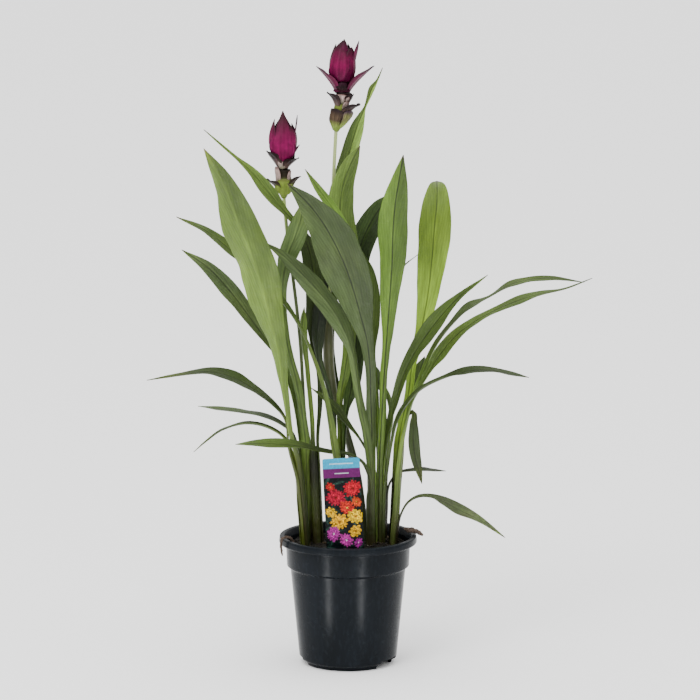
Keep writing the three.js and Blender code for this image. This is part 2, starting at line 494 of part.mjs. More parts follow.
const RIGHT_COMA = {
  base: [-5.6, 23, 579], lean: 0.02,
  core: [[5.5, 0], [8.5, 8], [11, 17], [11, 27], [8, 40], [2, 49]], rows: [
    [232, 6, 6.5, 27, 14, 53, 6, 21], [296, 6, 6.5, 26, 13.2, 52, 5, 19],
    [345, 6, 6.5, 29, 12, 54, 16, 12], [168, 6, 6.5, 27, 13.6, 50, 7.5, 20],
    [105, 6, 6.5, 26, 14, 53, 4, 19], [40, 6, 6.5, 26, 13.2, 50, 6, 19],
    [264, 12, 7, 33, 12.5, 57, 2.5, 12],
    [212, 1, 4, 12, 15.5, 29.5, 32.5, 24], [328, 1, 4, 13, 18, 30, 37.5, 24],
    [270, 1, 4, 7, 8.8, 12, 10.5, 17], [90, 1, 4, 13, 14, 25, 26, 18]],
};
const RIGHT_BRACTS = {
  base: [-12, 23, 541], lean: 0.21,
  core: [[2.4, 0], [5.5, 8], [7.4, 17], [8, 27], [7, 36.2]], rows: [
    [200, 22, 6, 30, 10, 35.5, 17.5, 17], [340, 23, 6, 30, 8.5, 34.5, 12, 14],
    [332, 13, 6, 21, 12, 26.5, 21, 19], [232, 12, 5.5, 22, 9.5, 31, 11, 16],
    [195, 3, 3, 17, 8.8, 25, 12, 17], [278, 3, 3, 14, 8.6, 23, 10.5, 18],
    [75, 6, 4, 19, 9.5, 27, 15, 17]],
};
const PETAL_STEPS = [0, 0.3, 0.6, 0.85, 1];

// Each petal is a quadratic curve from its root through its middle to its tip, in the upright
// plane of its azimuth, and its cupped face looks at the head's axis
function petal(head, row) {
  const [azimuth, startHeight, startRadius, middleHeight, middleRadius, tipHeight, tipRadius,
    width] = row;
  const [baseX, baseY, baseZ] = head.base;
  const outward = vector(Math.cos(radians(azimuth)), Math.sin(radians(azimuth)), 0);
  const at = (height, radius) => vector(baseX + head.lean * height, baseY, baseZ + height)
    .addScaledVector(outward, radius);
  const start = at(startHeight, startRadius);
  const tip = at(tipHeight, tipRadius);
  const control = at(middleHeight, middleRadius).multiplyScalar(2)
    .addScaledVector(start, -0.5).addScaledVector(tip, -0.5);
  const curve = new THREE.QuadraticBezierCurve3(start, control, tip);
  const spreads = tipRadius > middleRadius;
  const curl = radians(spreads ? SPREAD_CURL : ERECT_CURL);
  return ribbon(PETAL_STEPS.map((step) => {
    const along = curve.getTangent(step);
    const face = outward.clone().negate().addScaledVector(along, along.dot(outward)).normalize();
    const share = Math.pow(Math.sin(Math.PI * Math.pow(0.14 + 0.86 * step, 1.15)), 0.8);
    return {
      point: curve.getPoint(step),
      along,
      face,
      half: Math.max((width / 2) * share, 0.6),
      curl,
      thick: PETAL_THICKNESS / 2,
      edge: EDGE_THICKNESS / 2,
      wave: 0,
    };
  }), PETAL_POINTS);
}

function flowerHead(head) {
  const [baseX, baseY, baseZ] = head.base;
  const core = rod(head.core.map(([radius, height]) =>
    [baseX + head.lean * height, baseY, baseZ + height, radius]), 8);
  return join([core, ...head.rows.map((row) => petal(head, row))]);
}

// The plant label: a thin plastic tag with rounded shoulders, its pointed foot in the soil
const LABEL_WIDTH = 37.5;
const LABEL_TOP = 220;
const LABEL_FOOT = 106;
const LABEL_THICKNESS = 0.8;
const LABEL_CENTRE = [-4.5, -45, 165];
const LABEL_LEAN = -2.8;

function labelShape(grow) {
  const half = LABEL_WIDTH / 2 + grow;
  const top = LABEL_TOP - LABEL_CENTRE[2];
  const foot = LABEL_FOOT - LABEL_CENTRE[2] - grow;
  const corner = 2;
  const shape = new THREE.Shape();
  shape.moveTo(half, foot + 9);
  shape.lineTo(half, top - corner);
  shape.lineTo(half - corner, top);
  shape.lineTo(corner - half, top);
  shape.lineTo(-half, top - corner);
  shape.lineTo(-half, foot + 9);
  shape.lineTo(-6, foot);
  shape.lineTo(6, foot);
  shape.closePath();
  return shape;
}

function plantLabel(grow) {
  const depth = LABEL_THICKNESS + 2 * grow;
  const plate = new THREE.ExtrudeGeometry(labelShape(grow), { depth, bevelEnabled: false });
  plate.translate(0, 0, -depth / 2);
  plate.rotateX(Math.PI / 2);
  plate.rotateY(radians(LABEL_LEAN));
  return plate.translate(...LABEL_CENTRE);
}

// The soil: a filling with an uneven top, plain holes for the shoots and a slot for the label
const SOIL_RINGS = [14, 30, 46, 60.2];
const SOIL_SIDES = 32;

function unevenness(x, y) {
  return SOIL_UNEVEN * (Math.sin(x * 0.21 + 1.3) * Math.cos(y * 0.17 - 0.4)
    + 0.6 * Math.sin(x * 0.11 - y * 0.29 + 2.1));
}

function soil() {
  const side = (radius, height, uneven) => Array.from({ length: SOIL_SIDES }, (_, index) => {
    const angle = (2 * Math.PI * index) / SOIL_SIDES;
    const x = radius * Math.cos(angle);
    const y = radius * Math.sin(angle);
    return [x, y, height + (uneven ? unevenness(x, y) : 0)];
  });
  const rings = [
    side(HUB_RADIUS - WALL - FIT, WALL + FIT, false),
    side(HUB_RADIUS - WALL - FIT, FLOOR_HEIGHT + FIT, false),
    side(47.4, FLOOR_HEIGHT + FIT, false),
    side(56.3, COLLAR_BOTTOM - 2, false), side(60.2, COLLAR_BOTTOM + 4, false),
    ...SOIL_RINGS.slice().reverse().map((radius) => side(radius, SOIL_TOP, true)),
  ];
  const positions = [0, 0, WALL + FIT, ...rings.flat(2), 0, 0, SOIL_TOP + unevenness(0, 0)];
  const last = 1 + rings.length * SOIL_SIDES;
  const faces = [];
  for (let index = 0; index < SOIL_SIDES; index += 1) {
    const next = (index + 1) % SOIL_SIDES;
    faces.push(0, 1 + next, 1 + index);
    for (let ring = 0; ring + 1 < rings.length; ring += 1) {
      const low = 1 + ring * SOIL_SIDES;
      const high = low + SOIL_SIDES;
      faces.push(low + index, low + next, high + next, low + index, high + next, high + index);
    }
    faces.push(last - SOIL_SIDES + index, last - SOIL_SIDES + next, last);
  }
  const geometry = new THREE.BufferGeometry();
  geometry.setAttribute('position', new THREE.Float32BufferAttribute(positions, 3));
  geometry.setIndex(faces);
  const holes = Object.entries(SHOOTS).map(([name, { layers }]) => {
    const radius = SHEATH_RADIUS + (layers - 1) * SHEATH_STEP + SHEATH_THICKNESS / 2 + HOLE_FIT;
    const floor = SOIL_TOP - PLANTING_DEPTH - FOOT_GAP;
    return rod([[...onAxis(name, floor).toArray(), radius],
      [...onAxis(name, SOIL_TOP + 8).toArray(), radius]], 12);
  });
  return cut(geometry, [...holes, plantLabel(FIT)]);
}

// Bits of bark and root that lie over the rim
const RIGHT_BARK = [[57, 5, 137, 1.6], [63, 3, 135.8, 2.4], [70, 1, 134.8, 2.2], [76, -1, 131, 1]];
const LEFT_ROOT = [
  [-54, -24, 126.5, 1], [-59, -26.5, 134.5, 1.2], [-66, -29.6, 134, 1.3], [-67.5, -30, 126, 1.2],
  [-66.2, -29, 116.5, 0.7]];

// Colours and finishes
const finish = (color, roughness) => new THREE.MeshStandardMaterial({ color, roughness, metalness: 0 });
const LIGHT_LEAF = finish(0x8ca35a, 0.55);
const GREY_LEAF = finish(0x5f6e4b, 0.6);
const MID_LEAF = finish(0x5f7a35, 0.55);
const DARK_LEAF = finish(0x3a4f26, 0.55);
const LEAF_FINISHES = {
  leaf_left_broad: LIGHT_LEAF, leaf_right_tall: LIGHT_LEAF, leaf_right_rounded: LIGHT_LEAF,
  leaf_left_bright: LIGHT_LEAF, leaf_light_tip: LIGHT_LEAF, leaf_centre_broad: GREY_LEAF,
  leaf_centre_diagonal: GREY_LEAF, leaf_behind_scape: MID_LEAF, leaf_centre_left: MID_LEAF,
  leaf_small_inner: MID_LEAF, leaf_right_long_lower: MID_LEAF, leaf_tallest: MID_LEAF,
};

const plant = new THREE.Group();
function place(name, geometry, material) {
  const mesh = new THREE.Mesh(geometry, material);
  mesh.name = name;
  plant.add(mesh);
}

place('pot', pot(), finish(0x262a30, 0.45));
place('soil', soil(), finish(0x1c1612, 0.95));
place('plant_label', plantLabel(0), finish(0x2b3350, 0.35));
for (const name of Object.keys(SHOOTS)) {
  if (SHOOTS[name].top) place(`shoot_${name}`, shootCentre(name), finish(0x7f8a4c, 0.6));
}
place('shoot_g', swollenShoot(), finish(0x3a2c28, 0.6));
place('scape_left', rod(LEFT_SCAPE, 8), finish(0x9aa860, 0.55));
place('scape_right', rod(RIGHT_SCAPE, 8), finish(0x9aa860, 0.55));
for (const [name, description] of Object.entries(LEAVES)) {
  place(name, leaf(description), LEAF_FINISHES[name] ?? DARK_LEAF);
}
place('bracts_left', flowerHead(LEFT_BRACTS), finish(0x7f9440, 0.55));
place('coma_left', flowerHead(LEFT_COMA), finish(0x8c1a5c, 0.5));
place('bracts_right', flowerHead(RIGHT_BRACTS), finish(0x7f9440, 0.55));
place('coma_right', flowerHead(RIGHT_COMA), finish(0x8c1a5c, 0.5));
place('bark_bit', rod(RIGHT_BARK, 6), finish(0x5a4030, 0.9));
place('root_bit', rod(LEFT_ROOT, 6), finish(0x6a4a34, 0.9));

export default plant;
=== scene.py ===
import bpy
import numpy as np
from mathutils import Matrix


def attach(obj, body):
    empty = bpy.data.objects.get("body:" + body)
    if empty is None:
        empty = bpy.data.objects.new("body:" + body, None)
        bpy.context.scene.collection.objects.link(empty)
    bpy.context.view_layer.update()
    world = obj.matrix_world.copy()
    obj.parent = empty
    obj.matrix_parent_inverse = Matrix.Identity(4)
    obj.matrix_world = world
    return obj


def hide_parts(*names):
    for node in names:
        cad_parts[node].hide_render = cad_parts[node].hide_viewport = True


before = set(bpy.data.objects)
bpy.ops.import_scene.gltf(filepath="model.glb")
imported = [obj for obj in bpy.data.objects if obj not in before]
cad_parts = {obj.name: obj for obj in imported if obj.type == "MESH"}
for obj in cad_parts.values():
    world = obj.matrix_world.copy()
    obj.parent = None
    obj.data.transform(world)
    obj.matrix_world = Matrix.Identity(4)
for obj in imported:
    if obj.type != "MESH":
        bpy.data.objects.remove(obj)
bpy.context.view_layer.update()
MM = 0.001


# The pot: a thin round nursery pot, injection moulded in one shot from black polypropylene.
# A rolled rim sits on a straight collar, the floor is raised, and three wide drainage notches
# open the outer foot. The mould leaves a fine satin grain and one small pip low on the front.
RIM_RADIUS = 70
RIM_INNER_RADIUS = 64.5
RIM_TOP = 132
LIP_HEIGHT = 8
COLLAR_RADIUS = 63
COLLAR_BOTTOM = 101
BODY_TOP_RADIUS = 58.5
BODY_BOTTOM_RADIUS = 49.5
BODY_BOTTOM = 6.5
BASE_RADIUS = 44.5
FOOT_WIDTH = 3
HUB_RADIUS = 27
FLOOR_HEIGHT = 9.5
WALL = 1.2
NOTCH_ANGLES = (-29, 77, 183)
NOTCH_WIDTH = 30
NOTCH_HEIGHT = 8
NOTCH_DEPTH = 8
POT_CORNER = 0.7
POT_SIDES = 480
POT_RING_STEP = 3
PIP_ANGLE = -92.5
PIP_HEIGHT = 15
PIP_RISE = 0.5
PIP_WIDTH = 1.1
PIP_TALL = 1.6
PIP_OUT = 0.8
# Radius of the small ring that stands for the middle of a turned shape
MIDDLE = 0.5


def paint(code):
    """The light that a hex colour code stands for, as red, green and blue from 0 to 1."""
    shown = np.array([int(code[place:place + 2], 16) for place in (1, 3, 5)]) / 255
    return np.where(shown <= 0.04045, shown / 12.92, ((shown + 0.055) / 1.055) ** 2.4)


def placed(name, data):
    """Puts a mesh, a light or a camera into the scene."""
    thing = bpy.data.objects.new(name, data)
    bpy.context.scene.collection.objects.link(thing)
    return thing


def put_piece(name, points, faces, finish, node, maps=None, colours=None):
    """Makes the piece that stands for a node, from points in millimetres and arrays of faces that
    list their corners. Each array in maps becomes a UV map and each in colours a painted colour,
    a row a point."""
    points = np.reshape(points, (-1, 3)) * MM
    corners = np.concatenate([np.ravel(group) for group in faces]).astype(np.int32)
    sizes = np.concatenate([np.full(len(group), group.shape[1]) for group in faces])
    starts = (np.cumsum(sizes) - sizes).astype(np.int32)
    mesh = bpy.data.meshes.new(name)
    mesh.vertices.add(len(points))
    mesh.vertices.foreach_set("co", points.astype(np.float32).ravel())
    mesh.loops.add(len(corners))
    mesh.loops.foreach_set("vertex_index", corners)
    mesh.polygons.add(len(sizes))
    mesh.polygons.foreach_set("loop_start", starts)
    mesh.update(calc_edges=True)
    for title, values in (maps or {}).items():
        layer = mesh.uv_layers.new(name=title)
        layer.data.foreach_set("uv", values.reshape(-1, 2)[corners].astype(np.float32).ravel())
    for title, values in (colours or {}).items():
        layer = mesh.attributes.new(title, "FLOAT_COLOR", "POINT")
        with_alpha = np.hstack([values.reshape(-1, 3), np.ones((len(points), 1))])
        layer.data.foreach_set("color", with_alpha.astype(np.float32).ravel())
    mesh.shade_smooth()
    mesh.materials.append(finish)
    piece = placed(name, mesh)
    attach(piece, "root")
    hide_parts(node)


def ring_faces(rings, around, capped=True):
    """Four-sided faces between rings of points stacked one after the other, each ring closed on
    itself. Where capped, one face with all the corners of the ring closes either end."""
    ring, side = np.meshgrid(np.arange(rings - 1), np.arange(around), indexing="ij")
    here = ring * around + side
    beside = ring * around + (side + 1) % around
    walls = np.stack([here, beside, beside + around, here + around], axis=-1).reshape(-1, 4)
    if not capped:
        return [walls]
    end = np.arange(around)[None, :]
    return [walls, end[:, ::-1], end + (rings - 1) * around]


def eased(profile, radius):
    """Rounds each corner of a profile: it gives way to three points of a quadratic curve that
    starts and ends at the radius from it, or at two fifths of a side that is shorter."""
    corner = profile[1:-1]

    def towards(neighbour):
        side = neighbour - corner
        length = np.linalg.norm(side, axis=1, keepdims=True)
        return corner + side * np.minimum(radius, 0.4 * length) / length

    start = towards(profile[:-2])
    end = towards(profile[2:])
    middle = 0.25 * start + 0.5 * corner + 0.25 * end
    rounded = np.stack([start, middle, end], axis=1).reshape(-1, 2)
    return np.vstack([profile[:1], rounded, profile[-1:]])


def stepped(profile, step):
    """Adds points along a profile so that no side of it is longer than the step."""
    counts = np.ceil(np.linalg.norm(np.diff(profile, axis=0), axis=1) / step).astype(int)
    starts = np.repeat(np.arange(len(counts)), np.maximum(counts, 1))
    firsts = np.concatenate([[0], np.cumsum(np.maximum(counts, 1))[:-1]])
    share = (np.arange(len(starts)) - firsts[starts]) / np.maximum(counts, 1)[starts]
    points = profile[starts] + (profile[starts + 1] - profile[starts]) * share[:, None]
    return np.vstack([points, profile[-1:]])


def turned(profile, sides):
    """Turns a profile of radii and heights about Z: each point becomes a ring of that radius."""
    angle = np.arange(sides) * 2 * np.pi / sides
    radius = profile[:, :1]
    height = np.repeat(profile[:, 1:], sides, axis=1)
    return np.stack([radius * np.cos(angle), radius * np.sin(angle), height], axis=-1)


def add_node(finish, kind, inputs=None, **settings):
    """Adds a node to a finish. Each input, by name or number, gets a value or another's output."""
    made = finish.node_tree.nodes.new("ShaderNode" + kind)
    for setting, value in settings.items():
        setattr(made, setting, value)
    for place, value in (inputs or {}).items():
        if isinstance(value, bpy.types.NodeSocket):
            finish.node_tree.links.new(value, made.inputs[place])
        else:
            made.inputs[place].default_value = value
    return made


def new_finish(name, roughness, specular=0.5):
    """A finish with its shader, and the shader's own roughness and strength of its shine."""
    finish = bpy.data.materials.new(name)
    finish.use_nodes = True
    shader = finish.node_tree.nodes["Principled BSDF"]
    shader.inputs["Roughness"].default_value = roughness
    shader.inputs["Specular IOR Level"].default_value = specular
    return finish, shader


def ranged(finish, value, least, most, low, high, **settings):
    """A value carried over from the range least to most to the range low to high."""
    ends = {"From Min": least, "From Max": most, "To Min": low, "To Max": high}
    return add_node(finish, "MapRange", {"Value": value, **ends}, **settings).outputs[0]


def blotches(finish, place, size, low, high, detail=3.0, stretch=(1, 1, 1)):
    """Noise with patches of the size in millimetres, spread from low to high."""
    stretched = add_node(finish, "Mapping", {"Vector": place, "Scale": stretch})
    noise = add_node(finish, "TexNoise", {
        "Vector": stretched.outputs[0], "Scale": 1 / (size * MM), "Detail": detail})
    return ranged(finish, noise.outputs[0], 0.3, 0.7, low, high)


def mixed(finish, share, first, second, blend="MIX"):
    """One colour laid over another by a share from 0 to 1, or multiplied with it."""
    inputs = {0: share, 6: first, 7: second}
    return add_node(finish, "Mix", inputs, data_type="RGBA", blend_type=blend).outputs[2]


def link(finish, source, shader, socket):
    finish.node_tree.links.new(source, shader.inputs[socket])


def raised(finish, shader, *reliefs):
    """Bumps laid over each other on a finish, each a height from 0 to 1 and its depth in mm."""
    normal = None
    for height, depth in reliefs:
        inputs = {"Height": height, "Distance": depth * MM, "Strength": 1.0}
        if normal is not None:
            inputs["Normal"] = normal
        normal = add_node(finish, "Bump", inputs).outputs[0]
    link(finish, normal, shader, "Normal")


def opaque(code):
    return (*paint(code), 1)


def pot_finish():
    """Black polypropylene: nearly black with a blue cast, satin, with paler dusty patches and small
    scuffs that run down, a fine moulded grain and a faint ripple."""
    finish, shader = new_finish("pot_plastic", 0.25, 0.055)
    place = add_node(finish, "TexCoord").outputs["Object"]
    dusty = blotches(finish, place, 26, 0.0, 0.5, stretch=(1, 1, 0.35))
    scuffed = blotches(finish, place, 3.2, -0.35, 0.35, detail=6, stretch=(1, 1, 0.4))
    rubbed = mixed(finish, dusty, opaque("#101316"), opaque("#171b20"))
    link(finish, mixed(finish, scuffed, rubbed, opaque("#1f242a")), shader, "Base Color")
    link(finish, blotches(finish, place, 9, 0.2, 0.3, detail=4), shader, "Roughness")
    grain = blotches(finish, place, 0.7, 0, 1, detail=2)
    ripple = blotches(finish, place, 14, 0, 1, detail=1)
    raised(finish, shader, (grain, 0.012), (ripple, 0.03))
    return finish


def inside(radius):
    return radius - WALL


pot_profile = np.array([
    (MIDDLE, 0), (HUB_RADIUS - 1, 0), (HUB_RADIUS, 1), (HUB_RADIUS, FLOOR_HEIGHT - WALL),
    (BASE_RADIUS - FOOT_WIDTH, FLOOR_HEIGHT - WALL), (BASE_RADIUS - FOOT_WIDTH, 0),
    (BASE_RADIUS - 0.6, 0), (BASE_RADIUS + 0.6, 3.5), (BODY_BOTTOM_RADIUS - 0.6, BODY_BOTTOM - 1),
    (BODY_BOTTOM_RADIUS, BODY_BOTTOM + 1), (BODY_TOP_RADIUS, COLLAR_BOTTOM - 2),
    (COLLAR_RADIUS - 1, COLLAR_BOTTOM), (COLLAR_RADIUS, RIM_TOP - LIP_HEIGHT),
    (RIM_RADIUS - 1, RIM_TOP - LIP_HEIGHT), (RIM_RADIUS, RIM_TOP - LIP_HEIGHT + 1.5),
    (RIM_RADIUS - 0.6, RIM_TOP - 0.8), (RIM_RADIUS - 2, RIM_TOP),
    (RIM_INNER_RADIUS, RIM_TOP - 0.4), (inside(COLLAR_RADIUS), RIM_TOP - LIP_HEIGHT + 1),
    (inside(COLLAR_RADIUS - 1), COLLAR_BOTTOM + WALL), (inside(BODY_TOP_RADIUS), COLLAR_BOTTOM - 1),
    (inside(BODY_BOTTOM_RADIUS), FLOOR_HEIGHT), (HUB_RADIUS - WALL, FLOOR_HEIGHT),
    (HUB_RADIUS - WALL, WALL), (MIDDLE, WALL)])
pot_rings = turned(stepped(eased(pot_profile, POT_CORNER), POT_RING_STEP), POT_SIDES)
for notch_angle in np.radians(NOTCH_ANGLES):
    pot_x, pot_y, pot_z = np.moveaxis(pot_rings, -1, 0)
    outward = pot_x * np.cos(notch_angle) + pot_y * np.sin(notch_angle)
    aside = pot_y * np.cos(notch_angle) - pot_x * np.sin(notch_angle)
    opened = (outward > BASE_RADIUS - NOTCH_DEPTH) & (abs(aside) < NOTCH_WIDTH / 2)
    pot_rings[..., 2] = np.where(opened, np.maximum(pot_z, NOTCH_HEIGHT), pot_z)
pip = np.array([np.cos(np.radians(PIP_ANGLE)), np.sin(np.radians(PIP_ANGLE))])
pip_away = pot_rings[..., :2] - pip * (BODY_BOTTOM_RADIUS + PIP_OUT)
pip_away = np.linalg.norm(pip_away, axis=-1) / PIP_WIDTH
pip_up = (pot_rings[..., 2] - PIP_HEIGHT) / PIP_TALL
pot_rings[..., :2] += (PIP_RISE * np.exp(-pip_away ** 2 - pip_up ** 2))[..., None] * pip
put_piece("nursery_pot", pot_rings, ring_faces(len(pot_rings), POT_SIDES), pot_finish(),
          "pot")


# The soil: dark peat pressed down between the shoots. Its top is a crumbly skin with loose crumbs,
# bits of bark and a few white specks of perlite strewn over it.
SOIL_TOP = 121
SOIL_UNEVEN = 1.4
SOIL_RADIUS = 60.2
SOIL_SIDES = 220
SOIL_GRAIN = 0.9
SOIL_WAVES = 40
SKIN_RINGS = 80
# What lies strewn on the soil: how many bits, the smallest and the largest size, how flat they are,
# their colour, and the seed of their random draws
STREWN = ((1500, 0.5, 2.6, 0.8, "#1e1810", 11), (150, 1.5, 4.8, 0.3, "#4c3f2c", 12),
          (70, 0.5, 1.3, 0.8, "#b9b6a4", 13))


def soil_height(x, y):
    """The height of the soil's top: the smooth unevenness of two slow waves, and over it three times
    the mean of forty short waves of many directions, which stand for the crumbs."""
    slow = np.sin(x * 0.21 + 1.3) * np.cos(y * 0.17 - 0.4) + 0.6 * np.sin(x * 0.11 - y * 0.29 + 2.1)
    chance = np.random.default_rng(7)
    angle = chance.uniform(0, 2 * np.pi, SOIL_WAVES)
    pitch = 2 * np.pi / chance.uniform(2.2, 9, SOIL_WAVES)
    shift = chance.uniform(0, 2 * np.pi, SOIL_WAVES)
    waves = np.sin(np.multiply.outer(x, pitch * np.cos(angle))
                   + np.multiply.outer(y, pitch * np.sin(angle)) + shift)
    return SOIL_TOP + SOIL_UNEVEN * slow + SOIL_GRAIN * waves.mean(axis=-1) * 3


def spun(first, second, angle):
    """Two coordinates turned by an angle for each bit: first cos - second sin and the other way."""
    angle = angle[:, None]
    return (first * np.cos(angle) - second * np.sin(angle),
            first * np.sin(angle) + second * np.cos(angle))


def strewn(count, small, large, flatness, tint, seed):
    """Loose bits on the soil: each is a ball of twenty faces with its corners pushed in and out,
    stretched, turned at random and laid on the soil's top at random within the pot."""
    chance = np.random.default_rng(seed)
    golden = (1 + 5 ** 0.5) / 2
    corners = np.array([(-1, golden, 0), (1, golden, 0), (-1, -golden, 0), (1, -golden, 0),
                        (0, -1, golden), (0, 1, golden), (0, -1, -golden), (0, 1, -golden),
                        (golden, 0, -1), (golden, 0, 1), (-golden, 0, -1), (-golden, 0, 1)])
    faces = np.array([(0, 11, 5), (0, 5, 1), (0, 1, 7), (0, 7, 10), (0, 10, 11), (1, 5, 9),
                      (5, 11, 4), (11, 10, 2), (10, 7, 6), (7, 1, 8), (3, 9, 4), (3, 4, 2),
                      (3, 2, 6), (3, 6, 8), (3, 8, 9), (4, 9, 5), (2, 4, 11), (6, 2, 10),
                      (8, 6, 7), (9, 8, 1)])
    ball = corners / np.linalg.norm(corners[0])
    size = small * (large / small) ** (chance.uniform(0, 1, count) ** 1.6)
    stretch = chance.uniform(0.55, 1, (count, 3)) * np.array([1, 1, flatness])
    dent = chance.uniform(0.75, 1.15, (count, len(ball), 1))
    dented = ball[None] * dent * stretch[:, None] * size[:, None, None]
    spin = chance.uniform(0, 2 * np.pi, count)
    tilt = chance.normal(0, 0.35, count)
    x, z = spun(dented[..., 0], dented[..., 2], tilt)
    x, y = spun(x, dented[..., 1], spin)
    away = (SOIL_RADIUS - 2) * chance.uniform(0, 1, count) ** 0.5
    around = chance.uniform(0, 2 * np.pi, count)
    centre_x = away * np.cos(around)
    centre_y = away * np.sin(around)
    centre_z = soil_height(centre_x, centre_y) + 0.25 * size * flatness
    centre = np.stack([centre_x, centre_y, centre_z], axis=-1)
    points = np.stack([x, y, z], axis=-1) + centre[:, None]
    colour = paint(tint) * chance.uniform(0.55, 1.35, (count, 1))
    joined = (faces[None] + len(ball) * np.arange(count)[:, None, None]).reshape(-1, 3)
    return points.reshape(-1, 3), joined, np.repeat(colour, len(ball), axis=0)


def shaded(finish, colour, brightness):
    """A colour multiplied by one brightness."""
    grey = add_node(finish, "CombineColor", dict.fromkeys(range(3), brightness)).outputs[0]
    return mixed(finish, 1.0, colour, grey, "MULTIPLY")


def soil_finish():
    """Damp peat: the painted colour of each bit, mottled with finer fibres, and quite matt."""
    finish, shader = new_finish("peat", 0.9, 0.25)
    place = add_node(finish, "TexCoord").outputs["Object"]
    tint = add_node(finish, "Attribute", attribute_name="tint").outputs["Color"]
    fibre = blotches(finish, place, 1.1, 0.45, 1.5, detail=6)
    link(finish, shaded(finish, tint, fibre), shader, "Base Color")
    raised(finish, shader, (blotches(finish, place, 0.8, 0, 1, detail=5), 0.5))
    return finish


soil_side = np.array([(MIDDLE, 1.6), (25.4, 1.6), (25.4, 9.9), (47.4, 9.9), (56.3, 99), (SOIL_RADIUS, 105)])
soil_radii = np.linspace(SOIL_RADIUS, 0.6, SKIN_RINGS)
soil_skin = np.stack([soil_radii, np.full(SKIN_RINGS, SOIL_TOP)], axis=-1)
soil_rings = turned(np.vstack([soil_side, soil_skin]), SOIL_SIDES)
top_rings = soil_rings[len(soil_side):]
top_rings[..., 2] = soil_height(top_rings[..., 0], top_rings[..., 1])
soil_points = soil_rings.reshape(-1, 3)
soil_faces = ring_faces(len(soil_rings), SOIL_SIDES)
soil_tints = np.tile(paint("#15120b"), (len(soil_points), 1))
for bits in STREWN:
    bit_points, bit_faces, bit_tints = strewn(*bits)
    soil_faces.append(bit_faces + len(soil_points))
    soil_points = np.vstack([soil_points, bit_points])
    soil_tints = np.vstack([soil_tints, bit_tints])
put_piece("peat_soil", soil_points, soil_faces, soil_finish(), "soil", colours={"tint": soil_tints})


# The plant label: a thin printed plastic tag with rounded shoulders, pushed into the soil by its
# pointed foot. Its print is a plain one: a light blue and a purple band with a pale bar each, and
# round blossoms on a dark ground, under a thin gloss.
LABEL_WIDTH = 37.5
LABEL_TOP = 220
LABEL_FOOT = 106
LABEL_THICKNESS = 0.8
LABEL_CENTRE = np.array((-4.5, -45, 165))
LABEL_LEAN = -2.8
LABEL_SHOULDER = 2
LABEL_COLUMNS = 96
LABEL_ROWS = 280
POINT_HALF_WIDTH = 6
POINT_LENGTH = 9
LEAFLET_COUNT = 60
BLUE_BAND = 10.5
PURPLE_BAND = 9.5
# Bars on the bands: down from the label's top, half their height and half their length
BARS = ((5.4, 0.5, 12), (15.3, 0.4, 7))
BAR_STRENGTH = 0.8
# Blossoms: across and down from the label's top middle, radius, petals, colour, colour of the eye
BLOSSOMS = (
    (-12, 29, 5, 9, "#b2201c", "#c89a2c"), (10, 31, 9, 13, "#bc1428", "#7a1410"),
    (-7, 40, 9.5, 15, "#b01232", "#7a1410"), (13.5, 45, 5.5, 9, "#c8481c", "#c8a030"),
    (4, 51, 8, 12, "#cc3222", "#c8a030"), (-12.5, 55, 6, 8, "#e2b00a", "#7c4210"),
    (12, 60, 8.5, 10, "#e6ba0a", "#80480e"), (-4.5, 65, 9, 11, "#e2a806", "#84500e"),
    (11, 75, 6.5, 8, "#e0aa0a", "#7c4210"), (-11, 77, 7.5, 14, "#b03096", "#d8b4cc"),
    (1.5, 84, 7, 13, "#c23aa0", "#e0c4d8"), (13.5, 87, 5, 11, "#a0288c", "#d8b4cc"))


def laid_over(under, over, cover):
    """One colour over another where the cover is 1, and a mixture of the two where it is less."""
    return under * (1 - cover) + over * cover


